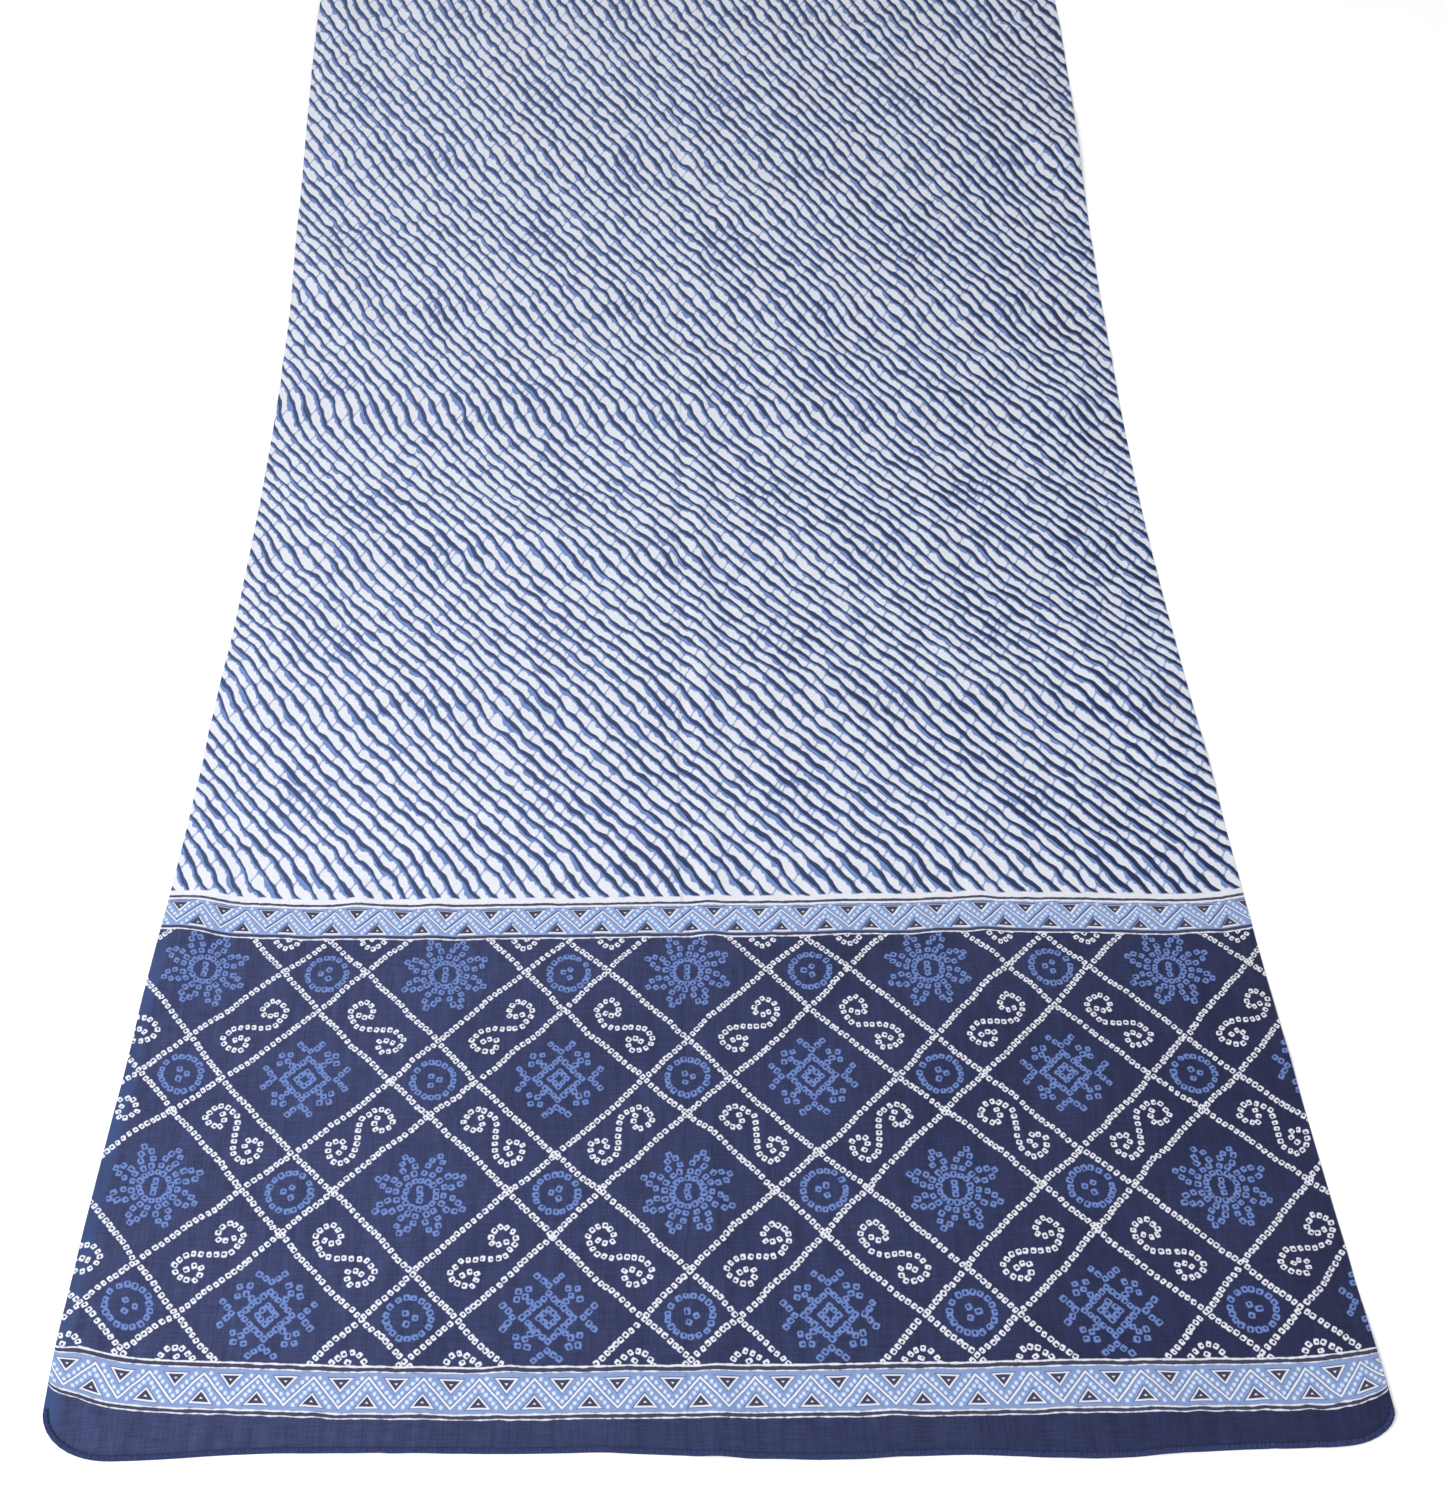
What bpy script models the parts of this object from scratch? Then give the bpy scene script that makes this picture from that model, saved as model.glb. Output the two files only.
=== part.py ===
# A cotton dupatta: one long printed shawl cloth, laid out flat with its storage creases and soft ripples.
#
# Units are metres and Z is up. The cloth's length runs along Y, with the end that is nearest the viewer
# at -Y, and the origin lies under the middle of the cloth, on the surface that it rests on.

from typing import NamedTuple

import bpy
import numpy as np

# The cut length
WIDTH = 0.92
LENGTH = 2.50
CLOTH_THICK = 0.0015
HEM_THICK = 0.0026
HEM_WIDE = 0.006

# The mesh: spacing of its plain rows and columns, and how close one may come to a crease or a hem line
CELL = 0.046
NEAREST = 0.012


class Side(NamedTuple):
    """How far each selvedge stands outside the straight cut, at one distance from the near hem."""

    from_hem: float
    left_out: float
    right_out: float


class Hem(NamedTuple):
    """How far each hem stands outside the straight cut, at one distance from the middle to the right."""

    across: float
    near_out: float
    far_out: float


class Crease(NamedTuple):
    """A soft ridge left by folding. Its place is across the cloth, or from the near hem if it runs crosswise."""

    lengthwise: bool
    place: float
    height: float
    spread: float
    wander: float


class Ripple(NamedTuple):
    """A long low bump: its middle, its half length and half width, its turn from the X axis in degrees."""

    across: float
    from_hem: float
    reach: float
    spread: float
    turn: float
    height: float


class Corner(NamedTuple):
    """A rounded corner: which side (-1 left, 1 right) and end (0 near, 1 far), its radius across and along."""

    side: int
    end: int
    across: float
    along: float


# The cloth is drawn in at its waist, and it flares at the near hem and over the far half
SIDES = (
    Side(0.00, 0.0145, 0.0165),
    Side(0.14, 0.0125, 0.0090),
    Side(0.37, 0.0000, -0.0030),
    Side(0.64, -0.0130, -0.0120),
    Side(0.92, -0.0210, -0.0200),
    Side(1.20, -0.0190, -0.0160),
    Side(1.47, -0.0050, -0.0050),
    Side(1.75, 0.0110, 0.0100),
    Side(2.12, 0.0200, 0.0180),
    Side(2.50, 0.0100, 0.0100),
)

# The hems are a little askew and wavy, and the cloth above each one follows it less and less
HEMS = (
    Hem(-0.46, -0.0010, 0.0050),
    Hem(-0.39, -0.0015, 0.0062),
    Hem(-0.31, -0.0044, 0.0050),
    Hem(-0.23, -0.0028, 0.0022),
    Hem(-0.15, -0.0008, 0.0010),
    Hem(-0.07, 0.0004, 0.0024),
    Hem(0.00, 0.0050, 0.0008),
    Hem(0.08, 0.0082, -0.0026),
    Hem(0.16, 0.0066, -0.0040),
    Hem(0.26, 0.0112, -0.0028),
    Hem(0.34, 0.0074, -0.0044),
    Hem(0.42, 0.0068, -0.0058),
    Hem(0.46, 0.0060, -0.0050),
)
HEM_FOLLOWS = 0.90

CREASES = (
    Crease(True, 0.000, 0.0034, 0.019, 0.0030),
    Crease(True, -0.232, 0.0016, 0.020, 0.0020),
    Crease(True, 0.236, 0.0018, 0.020, 0.0020),
    Crease(False, 1.180, 0.0038, 0.022, 0.0030),
    Crease(False, 0.585, 0.0014, 0.024, 0.0020),
    Crease(False, 1.830, 0.0020, 0.024, 0.0020),
)

RIPPLES = (
    Ripple(-0.435, 0.11, 0.120, 0.040, 62, 0.0060),
    Ripple(-0.440, 0.43, 0.150, 0.044, 78, 0.0050),
    Ripple(-0.405, 0.80, 0.210, 0.050, 66, 0.0065),
    Ripple(-0.415, 1.33, 0.200, 0.054, 112, 0.0055),
    Ripple(-0.440, 1.92, 0.250, 0.058, 84, 0.0070),
    Ripple(-0.400, 2.38, 0.130, 0.044, 130, 0.0055),
    Ripple(0.430, 0.09, 0.130, 0.042, 112, 0.0055),
    Ripple(0.430, 0.36, 0.130, 0.042, 98, 0.0045),
    Ripple(0.400, 0.70, 0.200, 0.050, 118, 0.0060),
    Ripple(0.405, 1.12, 0.180, 0.048, 72, 0.0050),
    Ripple(0.430, 1.62, 0.230, 0.058, 101, 0.0065),
    Ripple(0.420, 2.27, 0.180, 0.050, 60, 0.0060),
    Ripple(0.160, 0.66, 0.260, 0.052, 24, 0.0030),
    Ripple(-0.170, 0.92, 0.280, 0.054, -18, 0.0034),
    Ripple(0.120, 1.48, 0.300, 0.058, 14, 0.0038),
    Ripple(-0.100, 2.05, 0.280, 0.058, -22, 0.0036),
    Ripple(0.300, 0.03, 0.080, 0.026, 90, 0.0030),
    Ripple(0.118, 0.03, 0.070, 0.026, 86, 0.0022),
    Ripple(-0.205, 0.03, 0.085, 0.026, 95, 0.0026),
    Ripple(-0.070, 2.47, 0.085, 0.028, 88, 0.0028),
    Ripple(0.255, 2.47, 0.080, 0.026, 92, 0.0024),
)

CORNERS = (
    Corner(-1, 0, 0.052, 0.038),
    Corner(1, 0, 0.044, 0.025),
    Corner(-1, 1, 0.028, 0.028),
    Corner(1, 1, 0.030, 0.032),
)

PRINTED_COTTON = (0.155, 0.205, 0.400, 1.0)


def remove_scene_objects():
    for thing in list(bpy.data.objects):
        bpy.data.objects.remove(thing, do_unlink=True)


def through(rows, column, at):
    """A smooth curve through one column of a table: cubics whose slopes come from the rows on either side."""
    place = np.array([row[0] for row in rows])
    value = np.array([getattr(row, column) for row in rows])
    slope = np.gradient(value, place)
    start = np.clip(np.searchsorted(place, at, side="right") - 1, 0, len(place) - 2)
    gap = place[start + 1] - place[start]
    f = np.clip((at - place[start]) / gap, 0.0, 1.0)
    level = value[start] * (1 + 2 * f) * (1 - f) ** 2 + value[start + 1] * f**2 * (3 - 2 * f)
    return level + gap * (slope[start] * f * (1 - f) ** 2 - slope[start + 1] * f**2 * (1 - f))


def rounded(across, along):
    """Pulls the cut's end rows in, so that each corner follows a quarter of an ellipse.

    Within a corner's reach, a point moves along the cloth by how far the ellipse stands inside the square
    corner there, and the move fades out over three times the corner's length.
    """
    trimmed = along.copy()
    for corner in CORNERS:
        from_side = WIDTH / 2 - corner.side * across
        from_end = along if corner.end == 0 else LENGTH - along
        inside = np.clip(1 - from_side / corner.across, 0.0, 1.0)
        inset = corner.along * (1 - np.sqrt(1 - inside**2))
        fade = np.clip(1 - from_end / (3 * corner.along), 0.0, 1.0) ** 2
        trimmed += (1 if corner.end == 0 else -1) * inset * fade
    return trimmed


def outline(across, along):
    """Where a point of the straight cut lies in plan, from the tables of the sides and of the hems."""
    left = -WIDTH / 2 - through(SIDES, "left_out", along)
    right = WIDTH / 2 + through(SIDES, "right_out", along)
    x = left + (right - left) * (across / WIDTH + 0.5)
    near = through(HEMS, "near_out", across) * np.clip(1 - along / HEM_FOLLOWS, 0.0, 1.0) ** 1.3
    far = through(HEMS, "far_out", across) * np.clip(1 - (LENGTH - along) / HEM_FOLLOWS, 0.0, 1.0) ** 1.3
    return x, along - near + far


def bell(distance):
    """A soft bump: 1 in the middle, down half a cosine wave to exactly 0 at a distance of 1 and past it."""
    return 0.5 + 0.5 * np.cos(np.pi * np.minimum(distance, 1.0))


def height(across, along):
    """How far the cloth's underside stands off the surface, which is nowhere at all between the bumps.

    A crease is a bell along a line that wanders by a slow sine. A ripple is a bell that is stretched along
    its own turned axis. Where two of them cross, the higher one wins.
    """
    lift = np.zeros_like(across)
    for crease in CREASES:
        run, off = (along, across) if crease.lengthwise else (across, along)
        line = crease.place + crease.wander * np.sin(5.3 * run + 40 * crease.place)
        swell = 0.8 + 0.2 * np.sin(9.1 * run + 17 * crease.place)
        lift = np.maximum(lift, crease.height * swell * bell(np.abs(off - line) / crease.spread))
    for ripple in RIPPLES:
        turn = np.radians(ripple.turn)
        dx = across - ripple.across
        dy = along - ripple.from_hem
        lengthwise = (dx * np.cos(turn) + dy * np.sin(turn)) / ripple.reach
        sideways = (dy * np.cos(turn) - dx * np.sin(turn)) / ripple.spread
        lift = np.maximum(lift, ripple.height * bell(np.hypot(lengthwise, sideways)))
    return lift


def mesh_lines(start, end, fixed):
    """Evenly spaced lines from start to end, without those too close to the fixed ones, which are added."""
    plain = np.linspace(start, end, round((end - start) / CELL) + 1)[1:-1]
    fixed = np.array(sorted(fixed))
    clear = [line for line in plain if np.abs(fixed - line).min() > NEAREST]
    return np.unique(np.concatenate([clear, fixed, [start, end]]))


def crease_lines(lengthwise):
    """A line on the top of each crease that runs this way, and one past each of its flanks."""
    found = []
    for crease in CREASES:
        if crease.lengthwise == lengthwise:
            flank = crease.spread + crease.wander
            found += [crease.place - flank, crease.place, crease.place + flank]
    return found


def cut_cloth():
    """The open sheet: a grid whose columns and rows are carried from the straight cut to where it lies."""
    edge = WIDTH / 2
    insets = (HEM_WIDE, 0.016, 0.030, 0.050)
    columns = mesh_lines(-edge, edge, crease_lines(True) + [s * (edge - i) for i in insets for s in (-1, 1)])
    end_rows = [HEM_WIDE, HEM_WIDE + 0.004, 0.034]
    far_rows = [LENGTH - row for row in end_rows]
    rows = mesh_lines(0.0, LENGTH, crease_lines(False) + end_rows + far_rows)

    bpy.ops.mesh.primitive_grid_add(
        x_subdivisions=len(columns) - 1, y_subdivisions=len(rows) - 1, size=1.0, enter_editmode=False
    )
    cloth = bpy.context.object
    cloth.name = "dupatta"
    mesh = cloth.data
    mesh.name = "dupatta"
    spot = np.empty(len(mesh.vertices) * 3)
    mesh.vertices.foreach_get("co", spot)
    spot = spot.reshape(-1, 3)
    across = columns[np.rint((spot[:, 0] + 0.5) * (len(columns) - 1)).astype(int)]
    along = rows[np.rint((spot[:, 1] + 0.5) * (len(rows) - 1)).astype(int)]

    trimmed = rounded(across, along)
    x, y = outline(across, trimmed)
    spot = np.column_stack([x, y, height(across, trimmed)])
    middle = (spot.min(axis=0) + spot.max(axis=0)) / 2
    spot[:, :2] -= middle[:2]
    mesh.vertices.foreach_set("co", spot.ravel())
    mesh.update()
    return cloth, along


def thicken(cloth, along):
    """Gives the sheet its thickness above its underside, with the rolled hems fuller than the cloth."""
    whole = cloth.vertex_groups.new(name="thickness")
    for vertex, from_hem in enumerate(along):
        in_hem = min(from_hem, LENGTH - from_hem) <= HEM_WIDE
        whole.add([vertex], 1.0 if in_hem else CLOTH_THICK / HEM_THICK, "REPLACE")
    wall = cloth.modifiers.new("thickness", "SOLIDIFY")
    wall.thickness = HEM_THICK
    wall.offset = 1.0
    wall.vertex_group = whole.name
    wall.use_even_offset = False


def printed_cotton():
    material = bpy.data.materials.new("printed cotton")
    material.use_nodes = True
    shader = material.node_tree.nodes["Principled BSDF"]
    shader.inputs["Base Color"].default_value = PRINTED_COTTON
    shader.inputs["Roughness"].default_value = 0.85
    shader.inputs["Metallic"].default_value = 0.0
    return material


def build():
    remove_scene_objects()
    collection = bpy.data.collections.new("dupatta")
    bpy.context.scene.collection.children.link(collection)
    cloth, along = cut_cloth()
    for holder in list(cloth.users_collection):
        holder.objects.unlink(cloth)
    collection.objects.link(cloth)
    cloth.data.materials.append(printed_cotton())
    cloth.data.shade_smooth()
    thicken(cloth, along)


build()
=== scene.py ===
# %% [markdown]
# # A printed bandhani dupatta
#
# A dupatta is a long, light shawl. Bandhani is tie-dye made of dots: a pinch of cloth is bound with thread
# before the dye bath, and it leaves a small ring when the thread comes off. This one is block printed in
# that manner. It has a trellis of ring dots, flowers and scrolls at each end, a zigzag border on either
# side of that, and diagonal waves over the whole middle.
#
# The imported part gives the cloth's place and size. Everything here is laid on it: first the camera, then
# one fine sheet in place of the plain solid, then the print, the rolled hems and the light.

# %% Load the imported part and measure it
from functools import partial
from typing import NamedTuple

import bpy
import numpy as np
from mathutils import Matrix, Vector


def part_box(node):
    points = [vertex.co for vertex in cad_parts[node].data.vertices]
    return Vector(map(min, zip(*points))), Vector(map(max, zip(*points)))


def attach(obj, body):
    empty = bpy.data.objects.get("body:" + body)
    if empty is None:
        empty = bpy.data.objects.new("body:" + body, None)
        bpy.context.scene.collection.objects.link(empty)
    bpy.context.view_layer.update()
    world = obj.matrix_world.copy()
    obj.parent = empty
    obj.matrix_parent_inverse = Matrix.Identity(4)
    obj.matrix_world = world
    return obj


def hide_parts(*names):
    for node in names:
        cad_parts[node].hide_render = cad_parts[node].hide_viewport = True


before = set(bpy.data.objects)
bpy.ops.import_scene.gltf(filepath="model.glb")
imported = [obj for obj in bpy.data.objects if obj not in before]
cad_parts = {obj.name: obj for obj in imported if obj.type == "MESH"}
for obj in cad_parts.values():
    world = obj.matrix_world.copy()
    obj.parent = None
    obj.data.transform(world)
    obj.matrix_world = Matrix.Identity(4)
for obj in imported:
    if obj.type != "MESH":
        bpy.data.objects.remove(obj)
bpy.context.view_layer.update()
cloth_low, cloth_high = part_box("dupatta")
print("The cloth's box, in metres:", [round(high - low, 3) for low, high in zip(cloth_low, cloth_high)])

# %% [markdown]
# ## Three helpers
#
# Colours are written as sRGB hex values, as one would pick them from a dye chart, but a shader works in
# linear light. One function turns the first into the second. A second one adds a shader node, and every
# material below is made with it. A third starts a material and hands back the second one as `add`, tied to
# its own node tree, so that `add("Math MULTIPLY", share, 0.5)` reads as one step of a sum.

# %% Helpers for colours and materials
WAY = {"Math": "operation", "VectorMath": "operation", "MapRange": "interpolation_type"}


def linear(hex_colour):
    """An sRGB hex value as linear red, green, blue and alpha.

    Above 0.04045 each channel is ((value + 0.055) / 1.055) to the power 2.4, and below it value / 12.92.
    """
    srgb = np.array([int(hex_colour[i : i + 2], 16) for i in (1, 3, 5)]) / 255
    light = np.where(srgb > 0.04045, ((srgb + 0.055) / 1.055) ** 2.4, srgb / 12.92)
    return (*light.tolist(), 1.0)


def add_node(tree, kind, *values, out=None, **settings):
    """Adds a shader node, sets its properties, and returns its first output in use, or the one named.

    A second word in its kind is the way it works. The values go to its inputs in use, in order. A socket is
    linked, None is left alone, and anything else is set on the input.
    """
    kind, _, way = kind.partition(" ")
    node = tree.nodes.new("ShaderNode" + kind)
    if way:
        setattr(node, WAY[kind], way)
    for name, setting in settings.items():
        setattr(node, name, setting)
    inputs = [socket for socket in node.inputs if socket.enabled]
    for socket, value in zip(inputs, values):
        if isinstance(value, bpy.types.NodeSocket):
            tree.links.new(value, socket)
        elif value is not None:
            socket.default_value = value
    return node.outputs[out] if out else next(socket for socket in node.outputs if socket.enabled)


def start_material(name, plain):
    """A new material with the plain inputs of its shader set, that shader, and `add` for its node tree."""
    material = bpy.data.materials.new(name)
    material.use_nodes = True
    shader = material.node_tree.nodes["Principled BSDF"]
    for socket, value in plain.items():
        shader.inputs[socket].default_value = value
    return material, shader, partial(add_node, material.node_tree)


print("Navy dye in linear light:", [round(channel, 4) for channel in linear("#2c3463")])

# %% [markdown]
# ## The camera
#
# The photograph looks down on the near end of the cloth from a standing height. Its borders and the two
# sides give the view: how far each printed repeat shrinks towards the top says how steep it is, and how
# fast the sides close in says how far off the camera stands. Blender's sensor width belongs to the longer
# side of the picture, here its height.

# %% Place the camera over the near hem
PICTURE_HIGH = 1496
SENSOR = 36.0
FOCAL_PIXELS = 2047
LOOKS_DOWN = np.radians(49.69)
TURNED_RIGHT = np.radians(1.22)
EYE_HEIGHT = 1.400
EYE_ASIDE = -0.008
EYE_BEFORE_HEM = 0.5363

camera = bpy.data.objects.new("camera", bpy.data.cameras.new("camera"))
bpy.context.scene.collection.objects.link(camera)
camera.data.sensor_width = SENSOR
camera.data.lens = SENSOR * FOCAL_PIXELS / PICTURE_HIGH
camera.data.clip_start = 0.05
camera.location = (EYE_ASIDE, cloth_low.y - EYE_BEFORE_HEM, EYE_HEIGHT)
camera.rotation_euler = (np.pi / 2 - LOOKS_DOWN, 0.0, -TURNED_RIGHT)
bpy.context.scene.camera = camera
print(f"A lens of {camera.data.lens:.1f} mm, {np.degrees(LOOKS_DOWN):.1f} degrees below the horizon")

# %% [markdown]
# ## The cut, and how it lies
#
# The cloth comes off the loom as a straight strip. Laid out by hand, it is drawn in at its waist and
# flares at the hem. So each point keeps two numbers from the straight strip, `across` and `along`, and a
# function says where that point now lies. The same tables are in the part's source: here they carry a much
# finer sheet. Each table gives the names of its columns where it is unpacked.

# %% Say how far the edges stand outside the straight cut
WIDTH = 0.92
LENGTH = 2.50

SIDE_AT, LEFT_OUT, RIGHT_OUT = np.transpose([
    (0.00, 0.0145, 0.0165), (0.14, 0.0125, 0.0090), (0.37, 0.0000, -0.0030), (0.64, -0.0130, -0.0120),
    (0.92, -0.0210, -0.0200), (1.20, -0.0190, -0.0160), (1.47, -0.0050, -0.0050), (1.75, 0.0110, 0.0100),
    (2.12, 0.0200, 0.0180), (2.50, 0.0100, 0.0100),
])
HEM_AT, NEAR_OUT, FAR_OUT = np.transpose([
    (-0.46, -0.0010, 0.0050), (-0.39, -0.0015, 0.0062), (-0.31, -0.0044, 0.0050), (-0.23, -0.0028, 0.0022),
    (-0.15, -0.0008, 0.0010), (-0.07, 0.0004, 0.0024), (0.00, 0.0050, 0.0008), (0.08, 0.0082, -0.0026),
    (0.16, 0.0066, -0.0040), (0.26, 0.0112, -0.0028), (0.34, 0.0074, -0.0044), (0.42, 0.0068, -0.0058),
    (0.46, 0.0060, -0.0050),
])
HEM_FOLLOWS = 0.90
HEM_FADES = 1.3
# A corner's side (-1 left, 1 right), whether it is at the far end, and its radius across and along.
CORNERS = (
    (-1, False, 0.052, 0.038),
    (1, False, 0.044, 0.025),
    (-1, True, 0.028, 0.028),
    (1, True, 0.030, 0.032),
)
print(f"The left side stands out by {1000 * LEFT_OUT.min():.0f} to {1000 * LEFT_OUT.max():.0f} mm")


# %% Carry the straight cut to where it lies
def through(places, values, at):
    """A smooth curve through points.

    Between two points it is the cubic that starts and ends at their values, with the slopes that the
    neighbouring points give.
    """
    slope = np.gradient(values, places)
    start = np.clip(np.searchsorted(places, at, side="right") - 1, 0, len(places) - 2)
    gap = places[start + 1] - places[start]
    f = np.clip((at - places[start]) / gap, 0.0, 1.0)
    level = values[start] * (1 + 2 * f) * (1 - f) ** 2 + values[start + 1] * f**2 * (3 - 2 * f)
    return level + gap * (slope[start] * f * (1 - f) ** 2 - slope[start + 1] * f**2 * (1 - f))


def rounded(across, along):
    """Pulls the end rows in, so that each corner follows a quarter of an ellipse.

    A point moves along the cloth by how far the ellipse stands inside the square corner there, and the
    move fades with the square of the distance over three times the corner's length.
    """
    trimmed = along.copy()
    for side, far, radius_across, radius_along in CORNERS:
        from_side = WIDTH / 2 - side * across
        from_end = LENGTH - along if far else along
        inside = np.clip(1 - from_side / radius_across, 0.0, 1.0)
        inset = radius_along * (1 - np.sqrt(1 - inside**2))
        fade = np.clip(1 - from_end / (3 * radius_along), 0.0, 1.0) ** 2
        trimmed += (-1 if far else 1) * inset * fade
    return trimmed


def outline(across, along):
    """Where a point lies in plan: x is its share of the way between the two sides, y follows the two hems.

    How far a hem stands out carries on into the cloth, and fades with a power of the distance.
    """
    left = -WIDTH / 2 - through(SIDE_AT, LEFT_OUT, along)
    right = WIDTH / 2 + through(SIDE_AT, RIGHT_OUT, along)
    near_fade = np.clip(1 - along / HEM_FOLLOWS, 0.0, 1.0) ** HEM_FADES
    far_fade = np.clip(1 - (LENGTH - along) / HEM_FOLLOWS, 0.0, 1.0) ** HEM_FADES
    near = through(HEM_AT, NEAR_OUT, across) * near_fade
    far = through(HEM_AT, FAR_OUT, across) * far_fade
    return left + (right - left) * (across / WIDTH + 0.5), along - near + far


waist_x, _ = outline(np.array([-WIDTH / 2, WIDTH / 2]), np.array([0.95, 0.95]))
print(f"At its waist the cloth is {waist_x[1] - waist_x[0]:.3f} m wide")

# %% [markdown]
# ## Relief: fold lines, ripples and puckers
#
# Thin cotton never lies quite flat. It keeps the soft ridges it was folded on, its sides ripple where they
# were pulled, and it puckers near the hem, where the rolled edge is a little tighter than the cloth. Each
# of these is one low bump with a place and a size of its own, which is easy to read and to move. A sum of
# random plane waves under them stands for the unevenness that has no shape of its own.

# %% Give each fold, ripple and pucker its place
# Does the fold line run lengthwise, its place, its height, its half width, and how far it wanders.
CREASES = (
    (True, 0.000, 0.0034, 0.019, 0.0030), (True, -0.232, 0.0016, 0.020, 0.0020),
    (True, 0.236, 0.0018, 0.020, 0.0020), (False, 1.180, 0.0038, 0.022, 0.0030),
    (False, 0.585, 0.0014, 0.024, 0.0020), (False, 1.830, 0.0020, 0.024, 0.0020),
)
# The bump's middle across and from the near hem, its half length, its half width, its turn from the X axis
# in degrees, and its height.
RIPPLES = (
    (-0.435, 0.11, 0.120, 0.040, 62, 0.0060), (-0.440, 0.43, 0.150, 0.044, 78, 0.0050),
    (-0.405, 0.80, 0.210, 0.050, 66, 0.0065), (-0.415, 1.33, 0.200, 0.054, 112, 0.0055),
    (-0.440, 1.92, 0.250, 0.058, 84, 0.0070), (-0.400, 2.38, 0.130, 0.044, 130, 0.0055),
    (0.430, 0.09, 0.130, 0.042, 112, 0.0055), (0.430, 0.36, 0.130, 0.042, 98, 0.0045),
    (0.400, 0.70, 0.200, 0.050, 118, 0.0060), (0.405, 1.12, 0.180, 0.048, 72, 0.0050),
    (0.430, 1.62, 0.230, 0.058, 101, 0.0065), (0.420, 2.27, 0.180, 0.050, 60, 0.0060),
    (0.160, 0.66, 0.260, 0.052, 24, 0.0030), (-0.170, 0.92, 0.280, 0.054, -18, 0.0034),
    (0.120, 1.48, 0.300, 0.058, 14, 0.0038), (-0.100, 2.05, 0.280, 0.058, -22, 0.0036),
    (0.300, 0.03, 0.080, 0.026, 90, 0.0030), (0.118, 0.03, 0.070, 0.026, 86, 0.0022),
    (-0.205, 0.03, 0.085, 0.026, 95, 0.0026), (-0.070, 2.47, 0.085, 0.028, 88, 0.0028),
    (0.255, 2.47, 0.080, 0.026, 92, 0.0024),
)
PUCKERS = (
    (-0.425, 0.030, 0.044, 0.008, -48, 0.0034), (-0.398, 0.016, 0.034, 0.007, -24, 0.0022),
    (-0.344, 0.020, 0.024, 0.009, 70, 0.0016), (-0.274, 0.022, 0.030, 0.010, -52, 0.0026),
    (-0.228, 0.010, 0.014, 0.006, 88, 0.0018), (-0.150, 0.016, 0.024, 0.009, 94, 0.0014),
    (-0.022, 0.018, 0.028, 0.008, 89, 0.0018), (0.012, 0.016, 0.024, 0.009, 92, 0.0016),
    (0.120, 0.014, 0.024, 0.010, 84, 0.0014), (0.205, 0.014, 0.022, 0.008, 96, 0.0014),
    (0.322, 0.018, 0.030, 0.011, 62, 0.0028), (0.372, 0.016, 0.030, 0.008, 88, 0.0022),
    (0.402, 0.018, 0.034, 0.008, 84, 0.0028), (0.426, 0.020, 0.032, 0.007, 78, 0.0024),
    (0.443, 0.026, 0.028, 0.006, 70, 0.0018), (-0.330, 2.484, 0.026, 0.009, 96, 0.0020),
    (-0.120, 2.486, 0.024, 0.008, 86, 0.0016), (0.140, 2.486, 0.024, 0.009, 94, 0.0018),
    (0.400, 2.482, 0.030, 0.008, 104, 0.0024),
)
UNEVEN = 0.00045
UNEVEN_WAVES = 22
print(f"{len(CREASES)} fold lines, {len(RIPPLES)} ripples and {len(PUCKERS)} puckers")


# %% Work out the height of the cloth
def bell(distance):
    """A soft bump: half a cosine wave from 1 in the middle down to 0 at a distance of 1, and 0 past it."""
    return 0.5 + 0.5 * np.cos(np.pi * np.minimum(distance, 1.0))


def bumps(across, along, table):
    """The highest, at each point, of the table's ripples: each a bell stretched along its turned axis."""
    lift = np.zeros_like(across)
    for middle_across, middle_along, half_long, half_wide, degrees, height in table:
        turn = np.radians(degrees)
        dx = across - middle_across
        dy = along - middle_along
        lengthwise = (dx * np.cos(turn) + dy * np.sin(turn)) / half_long
        sideways = (dy * np.cos(turn) - dx * np.sin(turn)) / half_wide
        lift = np.maximum(lift, height * bell(np.hypot(lengthwise, sideways)))
    return lift


def ridges(across, along):
    """The highest of the fold lines at each point. Each is a bell about a line that wanders by a sine."""
    lift = np.zeros_like(across)
    for runs_lengthwise, place, height, half_wide, wander in CREASES:
        run, off = (along, across) if runs_lengthwise else (across, along)
        line = place + wander * np.sin(5.3 * run + 40 * place)
        swell = 0.8 + 0.2 * np.sin(9.1 * run + 17 * place)
        lift = np.maximum(lift, height * swell * bell(np.abs(off - line) / half_wide))
    return lift


def unevenness(across, along):
    """A sum of plane waves 45 to 160 mm long, in random directions, squared to stay above 0."""
    draw = np.random.default_rng(11)
    total = np.zeros_like(across)
    for _ in range(UNEVEN_WAVES):
        heading = draw.uniform(0, np.pi)
        wave = 2 * np.pi / draw.uniform(0.045, 0.160)
        shift = draw.uniform(0, 2 * np.pi)
        total += np.sin(wave * (across * np.cos(heading) + along * np.sin(heading)) + shift)
    return UNEVEN * (total / np.sqrt(UNEVEN_WAVES)) ** 2


def cloth_at(across, along):
    """Points of the cloth's underside, as rows of x, y and z, before the plan is centred."""
    trimmed = rounded(across, along)
    x, y = outline(across, trimmed)
    lift = np.maximum(ridges(across, trimmed), bumps(across, trimmed, RIPPLES))
    fine = bumps(across, trimmed, PUCKERS) + unevenness(across, trimmed)
    return np.stack([x, y, lift + fine], axis=-1)


height = cloth_at(*np.meshgrid(np.linspace(-0.46, 0.46, 93), np.linspace(0, LENGTH, 251)))[..., 2]
print(f"The relief is up to {1000 * height.max():.1f} mm, and {1000 * height.mean():.2f} mm on average")

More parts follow.
